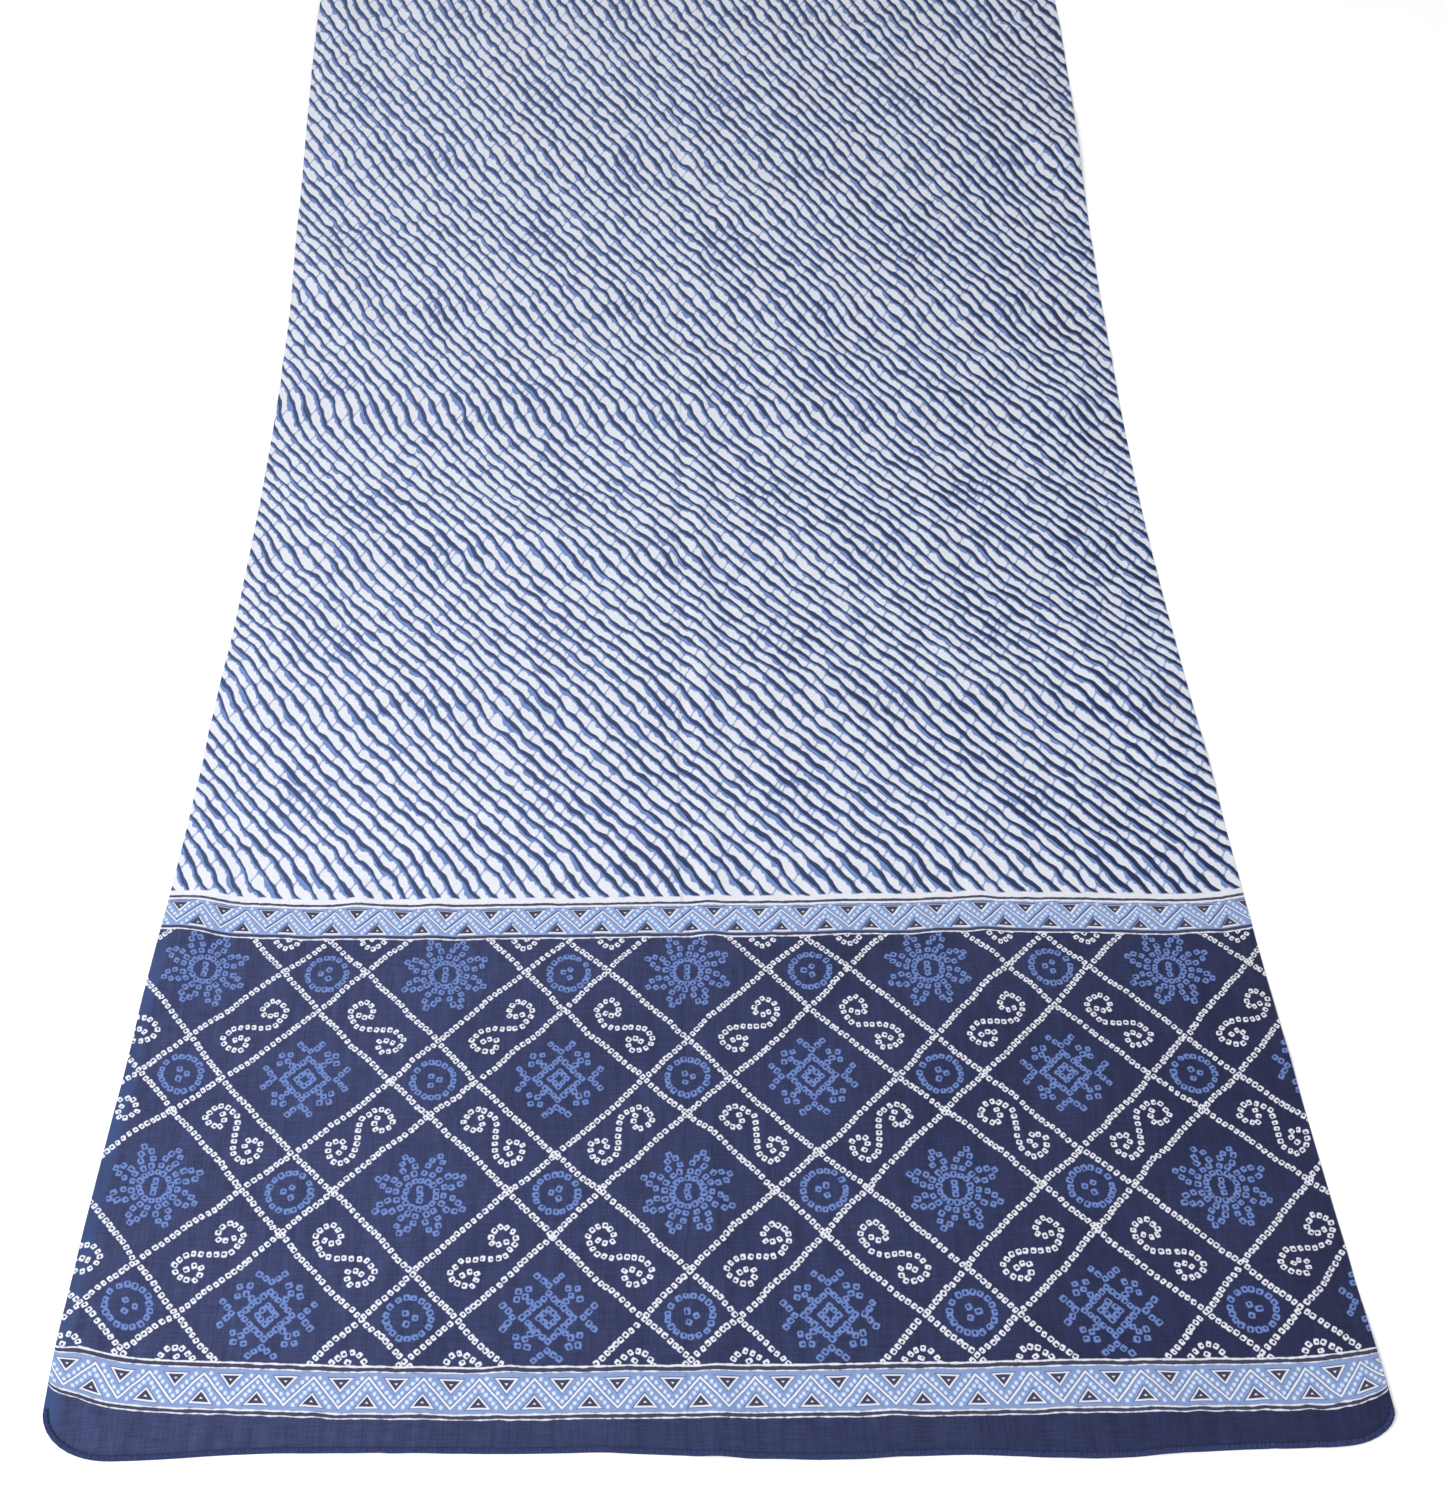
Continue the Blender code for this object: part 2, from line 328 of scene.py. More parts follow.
# %% [markdown]
# ## The sheet
#
# The print's dots are 3 to 5 mm across. They are painted by the material, but each face of the mesh will
# carry a short list of the dots near it, so the cells of the end panels are about 6 mm. The middle needs
# only the waves, so its cells are twice as long. Next to the selvedges the columns are closer, to turn the
# rounded corners.

# %% Lay out the sheet's points
CLOTH_THICK = 0.0005
CELL = 0.006
PANEL = 0.486
EDGE_COLUMNS = (0.0, 0.0006, 0.0022, 0.0050)
EDGE_BAND = 0.0095

inner = WIDTH / 2 - EDGE_BAND
edge_columns = WIDTH / 2 - np.array(EDGE_COLUMNS)
inner_columns = np.linspace(-inner, inner, round(2 * inner / CELL) + 1)
columns = np.concatenate([-edge_columns, inner_columns, edge_columns[::-1]])
panel_rows = np.linspace(0.0, PANEL, round(PANEL / CELL) + 1)
field_rows = np.linspace(PANEL, LENGTH - PANEL, round((LENGTH - 2 * PANEL) / (2 * CELL)) + 1)
rows = np.concatenate([panel_rows[:-1], field_rows, LENGTH - panel_rows[-2::-1]])

across, along = np.meshgrid(columns, rows)
points = cloth_at(across, along)
plan_middle = (points[..., :2].min(axis=(0, 1)) + points[..., :2].max(axis=(0, 1))) / 2
points[..., :2] -= plan_middle
points[..., 2] += CLOTH_THICK
off_solid = 1000 * np.abs(points.min(axis=(0, 1))[:2] - cloth_low[:2]).max()
print(f"{len(columns)} columns by {len(rows)} rows of points")
print(f"Their left and near edges are within {off_solid:.2f} mm of the solid's")

# %% [markdown]
# The sheet is modelled as its upper face, and Solidify gives it a thin cloth's thickness below, with the
# second material on the reverse.


# %% Make the fine sheet
def grid_faces(high, wide, closed=False):
    """The four corners of each cell of a grid of points, row after row. A closed grid joins its last column
    to its first."""
    column = np.arange(wide if closed else wide - 1)
    row = np.arange(high - 1)[:, None]
    after = (column + 1) % wide
    corners = [row * wide + column, row * wide + after, (row + 1) * wide + after, (row + 1) * wide + column]
    return np.stack(np.broadcast_arrays(*corners), axis=-1).reshape(-1, 4)


def make_piece(name, points, faces, caps=()):
    """A smooth-shaded mesh object from an array of points and one of faces, linked at the origin."""
    mesh = bpy.data.meshes.new(name)
    mesh.from_pydata(points.reshape(-1, 3).tolist(), [], [*faces.tolist(), *caps])
    mesh.shade_smooth()
    piece = bpy.data.objects.new(name, mesh)
    bpy.context.scene.collection.objects.link(piece)
    return piece


faces = grid_faces(len(rows), len(columns))
sheet = make_piece("dupatta_cloth", points, faces)
solidify = sheet.modifiers.new("cloth thickness", "SOLIDIFY")
solidify.thickness = CLOTH_THICK
solidify.offset = -1.0
solidify.material_offset = 1
print(f"{len(faces)} faces on the upper side, {1000 * CLOTH_THICK:.1f} mm above the lower one")

# %% [markdown]
# ## Where the print lies on the cloth
#
# The cloth was stretched a little when the blocks were set down, so that the print now stands a few
# millimetres too high in some places and too low in others. A table says by how much along each of the two
# borders. A UV map holds each point's place in the print, in metres: u across from the middle, v from the
# nearest hem. The far end was printed with the same blocks turned half round, so there the map is turned
# too.

# %% Map the print onto the cloth
# Distance from the middle to the right, and how far in mm the print stands too high along the two borders.
RISE_AT, LOWER_RISE, UPPER_RISE = np.transpose([
    (-0.46, 15.5, 14.0), (-0.44, 15.6, 11.9), (-0.41, 10.5, 6.7), (-0.37, 5.8, 3.2), (-0.33, 1.8, 0.3),
    (-0.29, -1.0, -0.3), (-0.23, -3.0, -1.5), (-0.15, -3.0, -1.0), (-0.09, -2.8, -1.1), (-0.03, -0.7, 0.0),
    (0.03, 1.8, 0.6), (0.08, 3.0, 0.9), (0.13, 1.5, 1.3), (0.17, 0.8, 0.2), (0.21, 3.0, 2.8),
    (0.26, 5.2, 2.2), (0.31, 1.8, -0.3), (0.36, 0.2, -3.5), (0.41, -0.2, -5.0), (0.435, 0.3, -4.2),
    (0.46, 4.0, 0.0),
])
LOWER_RISES_AT = 0.03
UPPER_RISES_AT = 0.44
RISES_END = 1.25
PULLED_LEFT_OF = -0.30
PULLED_END = 4.0
FAR_SHARE = 0.4


def climb(u, from_end):
    """How much further from the hem a point of the print lies than its own v.

    It goes evenly from the lower border's rise to the upper one's, and fades evenly past that. Beside the
    left selvedge, which was pulled along the whole cloth, it hardly fades.
    """
    share = np.clip((from_end - LOWER_RISES_AT) / (UPPER_RISES_AT - LOWER_RISES_AT), -0.1, 1.0)
    rise = (1 - share) * through(RISE_AT, LOWER_RISE, u) + share * through(RISE_AT, UPPER_RISE, u)
    end = np.where(u < PULLED_LEFT_OF, PULLED_END, RISES_END)
    return 0.001 * rise * np.clip((end - from_end) / (end - UPPER_RISES_AT), 0.0, 1.0)


near_v = along - climb(across, along)
far_v = LENGTH - along - FAR_SHARE * climb(-across, LENGTH - along)
corner = faces.ravel()
row_of_face = np.arange(len(faces)) // (len(columns) - 1)
on_far_half = np.repeat(row_of_face >= len(rows) // 2, 4)
u_map = np.where(on_far_half, -across.ravel()[corner], across.ravel()[corner])
v_map = np.where(on_far_half, far_v.ravel()[corner], near_v.ravel()[corner])
print_map = sheet.data.uv_layers.new(name="print")
print_map.uv.foreach_set("vector", np.column_stack([u_map, v_map]).astype(np.float32).ravel())
print(f"The print's v runs from {v_map.min():.3f} to {v_map.max():.3f} m")

# %% [markdown]
# ## Bandhani dots
#
# Every motif is a row of dots along a path, as the dyer would tie them with a thumbnail and thread. So a
# motif here is a short list of places in millimetres, or a path, and turning and mirroring give the rest.
# A dot is four numbers: u, v, the turn of its little square, and its ink.

# %% Set dots along paths
BLUE_RING, WHITE_RING, WHITE_SPOT = 1, 2, 3


def dots_at(places, ink):
    """Dots at a list of places in mm. Each is turned towards the motif's middle."""
    u, v = np.array(places, dtype=float).T / 1000
    return np.column_stack([u, v, np.arctan2(v, u), np.full(len(u), ink)])


def dots_along(path, pitch, ink):
    """Evenly spaced dots on a path of points, as many as the pitch fits best, each turned along the path."""
    steps = np.diff(path, axis=0)
    run = np.concatenate([[0.0], np.cumsum(np.hypot(*steps.T))])
    at = np.linspace(0, run[-1], round(run[-1] / pitch) + 1)
    turn = np.unwrap(np.arctan2(steps[:, 1], steps[:, 0]))
    middle = (run[1:] + run[:-1]) / 2
    u, v = np.interp(at, run, path[:, 0]), np.interp(at, run, path[:, 1])
    return np.column_stack([u, v, np.interp(at, middle, turn), np.full(len(at), ink)])


def moved(dots, u=0.0, v=0.0, turn=0.0, mirror=False):
    """Dots mirrored in u, then turned about the origin, then shifted."""
    flip = -1 if mirror else 1
    x = flip * dots[:, 0]
    y = dots[:, 1]
    c, s = np.cos(turn), np.sin(turn)
    return np.column_stack([c * x - s * y + u, s * x + c * y + v, flip * dots[:, 2] + turn, dots[:, 3]])


def ring(radius, degrees):
    """A circle of dots at the given angles: u and v are the radius times the cosine and the sine."""
    angle = np.radians(degrees)
    places = np.column_stack([radius * np.cos(angle), radius * np.sin(angle)])
    return dots_at(places, BLUE_RING)


row = dots_along(np.array([(0.0, 0.0), (0.1, 0.0)]), 0.005, BLUE_RING)
print(f"A path 100 mm long takes {len(row)} dots, at a pitch of 5 mm")

# %% [markdown]
# A flower is a ring of fourteen dots with a bar of three in it, and eight petals of seven dots, all
# leaning the same way. A roundel is a ring of seventeen round three. A chowk, the square of a courtyard,
# stands on its point, with a small one inside it, a forked V beyond each corner and a cluster off each
# side.

# %% Draw the flower, the roundel and the chowk
PETAL = ((17.9, -0.8), (23.4, -3.5), (30.0, -3.0), (34.5, 1.2), (29.2, 4.5), (23.5, 6.1), (16.9, 5.3))
ROUNDEL_ANGLES = (99, 81, 60, 31, 6, -11, -29, -49, -71, -90, -110, -133, -156, -177, 163, 142, 120)
CHOWK_SQUARES = ((18.4, 0.0), (14.7, 3.8), (11.0, 7.6), (7.3, 11.3), (3.7, 14.9), (6.7, 0.0), (3.4, 3.4))
CHOWK_CLUSTER = ((12.2, 12.6), (16.1, 16.5), (13.8, 22.5), (22.1, 14.5), (21.0, 21.6))
CHOWK_FORK = ((25.0, -0.4), (28.3, 4.0), (31.9, 8.6), (28.3, -5.2), (32.2, -9.2))
CLUSTER_TURN = 0.1


def flower():
    """The ring, the bar and the eight petals: one petal, turned by an eighth of a circle each time."""
    petals = [moved(dots_at(PETAL, BLUE_RING), turn=np.pi / 8 + k * np.pi / 4) for k in range(8)]
    bar = dots_at([(0.0, -4.8), (0.0, 0.0), (0.0, 4.8)], BLUE_RING)
    return np.vstack([ring(11.8, (np.arange(14) + 0.5) * 360 / 14), bar, *petals])


def roundel():
    """Seventeen dots at uneven angles, as the block was cut, round a triangle of three."""
    middle = dots_at([(1.7, 3.9), (-4.5, 0.5), (1.5, -4.3)], BLUE_RING)
    return np.vstack([ring(15.9, ROUNDEL_ANGLES), middle])


def chowk():
    """A side of each square, a cluster and a fork, turned by quarters. The cluster's dots stand upright."""
    quarter = dots_at(CHOWK_SQUARES + CHOWK_CLUSTER + CHOWK_FORK, BLUE_RING)
    quarter[:, 2] = np.pi / 4
    first = len(CHOWK_SQUARES)
    quarter[first : first + len(CHOWK_CLUSTER), 2] = CLUSTER_TURN
    return np.vstack([moved(quarter, turn=k * np.pi / 2) for k in range(4)])


for name, motif in (("flower", flower()), ("roundel", roundel()), ("chowk", chowk())):
    print(f"A {name} has {len(motif)} dots and is {1000 * np.ptp(motif[:, 0]):.0f} mm wide")

# %% [markdown]
# Two kinds of scroll lie round each flower: one stands above it and one lies below it. Each is a loose S
# whose two ends curl in. A curl has no simple formula, so a few points along each S are listed, from the
# flower's middle, and the dots are spaced evenly along them.

# %% Draw the scrolls
STANDING = (
    (39.8, 65.5), (42.0, 59.4), (39.4, 54.2), (34.0, 54.8), (29.4, 57.7), (26.5, 62.5), (29.7, 67.7),
    (33.0, 71.8), (38.0, 73.0), (42.5, 71.5), (46.6, 68.2), (51.2, 64.6), (52.5, 59.8), (52.7, 54.4),
    (52.8, 49.5), (52.6, 44.3), (52.9, 38.9), (53.5, 33.0), (57.4, 28.3), (61.8, 24.6), (66.9, 25.9),
    (71.8, 29.8), (73.7, 35.4), (73.7, 41.3), (68.7, 44.0), (63.6, 44.0), (61.8, 38.4), (65.0, 34.0),
)
LYING = (
    (66.2, -39.5), (60.2, -41.9), (54.8, -39.8), (54.9, -33.9), (58.1, -29.6), (62.5, -26.1), (67.3, -29.0),
    (72.2, -32.5), (73.7, -37.5), (72.3, -42.1), (69.1, -46.5), (66.4, -50.7), (61.5, -52.6), (56.4, -53.2),
    (51.4, -53.3), (46.5, -52.9), (40.8, -53.3), (35.1, -54.1), (30.7, -58.2), (27.2, -63.0), (28.4, -68.3),
    (33.0, -72.3), (38.5, -74.3), (44.3, -74.1), (46.6, -69.2), (46.5, -63.9), (41.0, -62.9), (36.5, -65.6),
)
SCROLL_PITCH = 0.00555

curls = [dots_along(np.array(curl) / 1000, SCROLL_PITCH, WHITE_RING) for curl in (STANDING, LYING)]
scrolls = np.vstack([*curls, *[moved(curl, mirror=True) for curl in curls]])
print(f"The four scrolls round a flower have {len(scrolls)} dots")

# %% [markdown]
# ## The end panel
#
# The blocks repeat on a lattice about 200 mm each way. Flowers stand on its corners, roundels half-way
# between them each way, and a chowk in the middle. Pairs of dotted lines cross between them as a trellis,
# and scrolls lie in the strips that the pairs leave. In the two borders, small spots follow a zigzag.

# %% Measure the panel and its two borders
REPEAT_U = 0.1992
REPEAT_V = 0.1989
FLOWER_U = -0.0168
FLOWER_V = 0.2022
ROUNDEL_ASIDE = 0.0020
CHOWK_ASIDE = -0.0010
LOWER_TOP = 0.0655
UPPER_FOOT = 0.4361


class Border(NamedTuple):
    """A zigzag border, in metres from the hem: its band's foot and top, the zigzag's valleys and peaks,
    where its upright triangles stand and its hung ones hang, the zigzag's period, one peak's u and how far
    the white ink slipped from the dark one. Then half the width of its white lines in mm, and its ground."""

    foot: float
    top: float
    valley: float
    peak: float
    stand: float
    hang: float
    period: float
    peak_u: float
    slip: float
    half_line: float
    ground: str


BORDERS = (
    Border(0.0315, 0.0608, 0.0352, 0.0569, 0.0346, 0.0571, 0.03808, -0.0117, 0.0001, 0.78, "#778cb6"),
    Border(0.4396, 0.4668, 0.4442, 0.4634, 0.4412, 0.4652, 0.03786, -0.0130, 0.0006, 0.62, "#7c91bb"),
)
print(f"The panel between the borders is {UPPER_FOOT - LOWER_TOP:.3f} m deep")

# %% [markdown]
# The trellis is a lattice of paired lines. Along one of them, u over its repeat plus or minus v over its
# own stays nearly the same number, so a line needs no points of its own, only that number.

# %% Draw the trellis
TRELLIS_HALF_GAP = 0.170
TRELLIS_BULGE = 0.014
TRELLIS_PITCH = 0.00508
TRELLIS_WOBBLE = 0.0006
TRELLIS_REACH = (0.55, 0.27)
TRELLIS_FEWEST_STEPS = 20
CROSSING = 0.45


def trellis():
    """Dotted lines along which u over its repeat, plus or minus v over its own, stays nearly the same.

    They stand in pairs about the half numbers. Each swings with the cosine of the other sum, so that a pair
    opens round the flowers and closes beside them. Where two lines cross, one dot serves both.
    """
    found = []
    # The other sum goes in steps of a hundredth, which are 1.4 mm along a line.
    other = np.linspace(-9.0, 9.0, 1801)
    for half in np.arange(-5.5, 6.0):
        for side in (-1, 1):
            own = half + side * TRELLIS_HALF_GAP
            number = round(half + side * 0.5)
            own = own + TRELLIS_BULGE * (-1) ** number * np.cos(np.pi * other)
            line = np.column_stack([REPEAT_U * (own + other) / 2, REPEAT_V * (own - other) / 2])
            near = (np.abs(line) < TRELLIS_REACH).all(axis=1)
            if near.sum() > TRELLIS_FEWEST_STEPS:
                found.append(dots_along(line[near], TRELLIS_PITCH, WHITE_RING))
    falling = np.vstack(found)
    rising = moved(falling, mirror=True)
    gaps = np.hypot(*(rising[:, None, :2] - falling[None, :, :2]).transpose(2, 0, 1))
    lines = np.vstack([falling, rising[gaps.min(axis=1) > CROSSING * TRELLIS_PITCH]])
    lines[:, 0] += TRELLIS_WOBBLE * np.sin(150 * lines[:, 1] + 60 * lines[:, 0])
    lines[:, 1] += TRELLIS_WOBBLE * np.sin(170 * lines[:, 0] - 50 * lines[:, 1])
    return moved(lines, FLOWER_U, FLOWER_V)


trellis_dots = trellis()
print(f"The trellis has {len(trellis_dots)} dots before it is cut to the panel")

# %% [markdown]
# The spots of a border follow its zigzag in two rows of Vs, one hung under each peak and one stood in each
# valley. Then the motifs are set down over the lattice, cut off at the borders as the blocks were, and
# each dot is put a little astray, because no block and no hand is exact.

# %% Gather the dots of the end panel
SPOTS_A_SIDE = 5
PERIODS_A_SIDE = 14
# A row's middle spot, as a height above its peak or valley, and the step across and up to each next spot.
HUNG_ROW = (-0.0055, 0.00250, -0.00315)
STOOD_ROW = (0.0047, 0.00285, 0.0033)
ASTRAY = 0.00024
TURNED_ASTRAY = 0.17


def border_spots(border):
    """White spots in two rows along the zigzag, one hung below its peaks and one stood above its valleys."""
    k = np.arange(-SPOTS_A_SIDE, SPOTS_A_SIDE + 1)
    peak_u = border.peak_u + border.period * np.arange(-PERIODS_A_SIDE, PERIODS_A_SIDE + 1)[:, None]
    valley_u = peak_u + border.period / 2
    found = []
    rows = ((peak_u, border.peak, HUNG_ROW), (valley_u, border.valley, STOOD_ROW))
    for u, v, (start, step_u, step_v) in rows:
        spots = np.broadcast_arrays(u + step_u * k, v + start + step_v * np.abs(k), 0.0, float(WHITE_SPOT))
        found.append(np.stack(spots, axis=-1).reshape(-1, 4))
    return np.vstack(found)


def panel_dots():
    """All the dots of one end, as rows of u, v, turn and ink, each a little astray as hand work is."""
    found = [trellis_dots]
    for i in np.arange(-3, 4):
        for j in np.arange(-1, 3):
            u, v = FLOWER_U + i * REPEAT_U, FLOWER_V + j * REPEAT_V
            found.append(moved(flower(), u, v))
            found.append(moved(scrolls, u, v))
            found.append(moved(roundel(), u + REPEAT_U / 2 + ROUNDEL_ASIDE, v))
            found.append(moved(roundel(), u, v + REPEAT_V / 2, mirror=True))
            found.append(moved(chowk(), u + REPEAT_U / 2 + CHOWK_ASIDE, v + REPEAT_V / 2))
    dots = np.vstack(found)
    inside = (dots[:, 1] > LOWER_TOP - 0.001) & (dots[:, 1] < UPPER_FOOT + 0.001)
    dots = np.vstack([dots[inside], *[border_spots(border) for border in BORDERS]])
    dots = dots[np.abs(dots[:, 0]) < WIDTH / 2 + 0.004]
    draw = np.random.default_rng(5)
    dots[:, :2] += draw.normal(0, ASTRAY, (len(dots), 2))
    dots[:, 2] += draw.normal(0, TURNED_ASTRAY, len(dots))
    return dots


dots = panel_dots()
print(f"{len(dots)} dots in one end panel")

# %% [markdown]
# ## A chart of dots on every face
#
# A material cannot look through thousands of dots at each point, but it can look at six. So each face of
# the end panels gets six attributes, each with the u, v and code of one dot that reaches into it. The code
# is the dot's turn plus a full circle for each step of its ink: turning by the code then turns by the
# dot's own angle, and the number of whole circles in it says which ink.

# %% Find the faces that each dot reaches
DOT_REACH = 0.0031
# The most rows and columns of cells that one dot can reach.
CELLS_REACHED = (3, 5)


def reach_along(edges, at):
    """The first and the last gap between the edges that the reach of each dot overlaps."""
    first, last = (np.searchsorted(edges, at + side * DOT_REACH) - 1 for side in (-1, 1))
    return first, np.minimum(last, len(edges) - 2)


def reached_faces(u_cut, v_cut):
    """Pairs of face and dot, for each dot and each face of the grid that its reach overlaps."""
    first_column, last_column = reach_along(columns, u_cut)
    first_row, last_row = reach_along(rows, v_cut)
    found = []
    for down, over in np.ndindex(CELLS_REACHED):
        row, column = first_row + down, first_column + over
        real = (row >= 0) & (row <= last_row) & (column >= 0) & (column <= last_column)
        face = row * (len(columns) - 1) + column
        found.append(np.column_stack([face, np.arange(len(face))])[real])
    return np.vstack(found)


dot_climb = climb(dots[:, 0], dots[:, 1])
near_pairs = reached_faces(dots[:, 0], dots[:, 1] + dot_climb)
far_pairs = reached_faces(-dots[:, 0], LENGTH - dots[:, 1] - FAR_SHARE * dot_climb)
pairs = np.vstack([near_pairs, far_pairs])
print(f"{len(pairs)} pairs of a face and a dot that reaches into it")

# %% [markdown]
# Where more than six dots reach a face, it keeps those nearest to its middle. To find them all at once, the
# pairs are put in order by face and then by distance, and each pair's rank is its place within its face.

# %% Chart the nearest dots on every face
DOTS_A_FACE = 6
# A place far off the cloth, for the entries that no dot needs.
NO_DOT = (9.0, 9.0, 0.0)


def note(name, domain, vectors):
    """Stores a vector for each point or face of the sheet, for the material to read."""
    attribute = sheet.data.attributes.new(name, "FLOAT_VECTOR", domain)
    attribute.data.foreach_set("vector", vectors.astype(np.float32).ravel())


cell_u = u_map.reshape(-1, 4).mean(axis=1)[pairs[:, 0]]
cell_v = v_map.reshape(-1, 4).mean(axis=1)[pairs[:, 0]]
distance = np.hypot(cell_u - dots[pairs[:, 1], 0], cell_v - dots[pairs[:, 1], 1])
pairs = pairs[np.lexsort((distance, pairs[:, 0]))]
_, first_of_face, place_of_face = np.unique(pairs[:, 0], return_index=True, return_inverse=True)
rank = np.arange(len(pairs)) - first_of_face[place_of_face]
kept = rank < DOTS_A_FACE
charted = dots[pairs[kept, 1]]
# The turn keeps a little off 0 and half a circle, so that no rounding can move a code to the next ink.
code = np.mod(charted[:, 2], np.pi) * 0.99 + 0.01 + 2 * np.pi * charted[:, 3]
chart = np.tile(np.float32(NO_DOT), (DOTS_A_FACE, len(faces), 1))
chart[rank[kept], pairs[kept, 0]] = np.column_stack([charted[:, :2], code])
for number in range(DOTS_A_FACE):
    note(f"dot_{number}", "FACE", chart[number])
print(f"{kept.sum()} entries, at most {rank.max() + 1} dots reach one face, {(~kept).sum()} left out")

# %% [markdown]
# ## The waves of the middle
#
# The diagonal waves are one printed block, about 217 by 195 mm, set down again and again. Across a block
# the waves count up to 14 and along it to 11, so they meet at its edges, and a warp that repeats with the
# block makes them swing. After the third row the blocks were set further apart, and one row stands askew
# to the row before it, with a seam where they meet. Three numbers go to each point of the sheet: how many
# waves lie below it, how far it is along its own wave, and how heavily the block was inked there.

# %% Measure the wave block
BLOCK_U = 0.2170
BLOCK_V = 0.1945
WAVES_U = 14
WAVES_V = 11
BLOCK_START = (-0.2015, 0.4930)
FIRST_COUNT = 0.23
# One term of the block's warp: its waves across and along the block, its height and its shift.
SWINGS = (
    (0, 1, 0.238, 3.15), (1, 0, 0.075, 1.09), (0, 2, 0.058, 2.70), (1, 1, 0.043, 2.92),
    (2, 0, 0.033, 2.01), (0, 3, 0.026, 2.74), (2, -1, 0.026, 2.30), (1, -1, 0.021, 1.37),
)
# Where the block took more ink or less: the patch's place across and along the block, and its weight.
INK_PATCHES = (
    (0.27, 0.46, 0.34), (0.76, 0.03, 0.30), (0.62, 0.35, 0.16), (0.45, 0.76, -0.24), (0.02, 0.10, -0.18),
)
PATCH_REACH = 0.30
RUN_U = 0.94
RUN_V = -0.50


def on_block(over, down):
    """The wave count and the ink at a place on the block, counted in blocks.

    The count is linear in the place plus the sum of the swings. The ink is a half plus a bell at each patch.
    """
    count = WAVES_U * over + WAVES_V * down + FIRST_COUNT
    for waves_over, waves_down, height, shift in SWINGS:
        count += height * np.sin(2 * np.pi * (waves_over * over + waves_down * down) + shift)
    ink = np.full_like(over, 0.5)
    for patch_over, patch_down, weight in INK_PATCHES:
        aside = np.mod(over - patch_over + 0.5, 1.0) - 0.5
        beyond = np.mod(down - patch_down + 0.5, 1.0) - 0.5
        ink += weight * bell(np.hypot(aside, beyond) / PATCH_REACH)
    return count, ink


wave_mm = 1000 / np.hypot(WAVES_U / BLOCK_U, WAVES_V / BLOCK_V)
print(f"A wave is {wave_mm:.1f} mm wide")

# %% [markdown]
# Two things happened when the blocks were set down. Further up the cloth they were spread out, which a
# table of places gives. And past one row they were set askew: there the count is worked out a second time
# from the new place of the blocks, and over a hand's breadth one print gives way to the other.

# %% Count the waves over the whole cloth
SPREAD_AT, IN_PRINT = np.transpose([
    (0.00, 0.000), (0.80, 0.800), (0.93, 0.930), (1.01, 1.007), (1.11, 1.092), (1.21, 1.171),
    (1.333, 1.264), (1.478, 1.363), (1.622, 1.4585), (1.76, 1.538), (1.91, 1.621), (2.03, 1.690),
    (2.50, 1.980),
])
SEAM_AT = 1.114
SEAM_HALF = 0.034
# How far the blocks past the seam stand off, in blocks, the slope at which they lean, and the whole waves by
# which their count runs ahead.
SEAM_OVER = 0.1705
SEAM_DOWN = 0.293
SEAM_LEAN = 0.028
SEAM_SKIPS = 6


def waves(u, v):
    """The wave count, the run along the wave in metres, and the ink, from 0 to about 1.

    Across the seam each of them goes from the one print to the next by a smooth step. The run is counted so
    that its marks lean a little more upright than square to the wave, as the ticks do.
    """
    over = (u - BLOCK_START[0]) / BLOCK_U
    down = (through(SPREAD_AT, IN_PRINT, v) - BLOCK_START[1]) / BLOCK_V
    count, ink = on_block(over, down)
    next_count, next_ink = on_block(over + SEAM_OVER, down + SEAM_DOWN + SEAM_LEAN * u / BLOCK_V)
    f = np.clip((v - SEAM_AT) / (2 * SEAM_HALF) + 0.5, 0.0, 1.0)
    share = f**2 * (3 - 2 * f)
    count += share * (next_count - SEAM_SKIPS - count)
    return count, RUN_U * u + RUN_V * v, ink + share * (next_ink - ink)


wave_count, wave_run, wave_ink = waves(across, near_v)
note("waves", "POINT", np.stack([wave_count, wave_run, wave_ink], axis=-1))
print(f"{np.ptp(wave_count):.0f} waves on the cloth, inked {wave_ink.min():.2f} to {wave_ink.max():.2f}")

# %% [markdown]
# ## The material: block-printed cotton
#
# Plain-weave cotton lawn is matt, with a faint bloom of loose fibres that a little sheen gives. Its
# threads are uneven, so that dye takes in fine streaks both ways. Block printing leaves soft edges a
# fraction of a millimetre wide, lines that tremble, and ink that is never quite even. The material draws
# the print in layers, as the printer does: ground, dots, borders, waves, then the thin lines. Each layer
# is a function that gives a colour or a share of ink, and the last step mixes them.

# %% Name the inks
NAVY = linear("#30375a")
NAVY_DEEP = linear("#1c2243")
WAVE_NAVY = linear("#374567")
WAVE_NAVY_DEEP = linear("#182446")
WAVE_BLUE = linear("#6780b4")
DOT_BLUE = linear("#6079b2")
WHITE = linear("#d0d2da")
SPOT_WHITE = linear("#c3d0e6")
OUTLINE = linear("#38384f")
ZIGZAG_EDGE = linear("#3f4d7c")
TICK_BLUE = linear("#7f90b8")
SELVEDGE_BLUE = linear("#314570")
print(f"White reflects {WHITE[1]:.2f} of the light, navy {NAVY[1]:.3f} and deep navy {NAVY_DEEP[1]:.3f}")

# %% [markdown]
# A charted dot is a small square with round corners, with a hole where the cloth stayed under the thread.
# The fourth powers of its two sides make the rounded square. White dots are smaller than blue ones, mostly
# along their row. The dot's own place gives it a few random numbers: they make it narrower, close its hole
# a little, and move the hole aside, so that some rings are open on one side. The spots of the borders are
# smaller and softer, and have no hole.

# %% Paint one charted dot
RING_HALF = 2.42
SPOT_SMALLER = -1.02
SPOT_SOFTER = -0.55
DOT_EDGE = 0.34
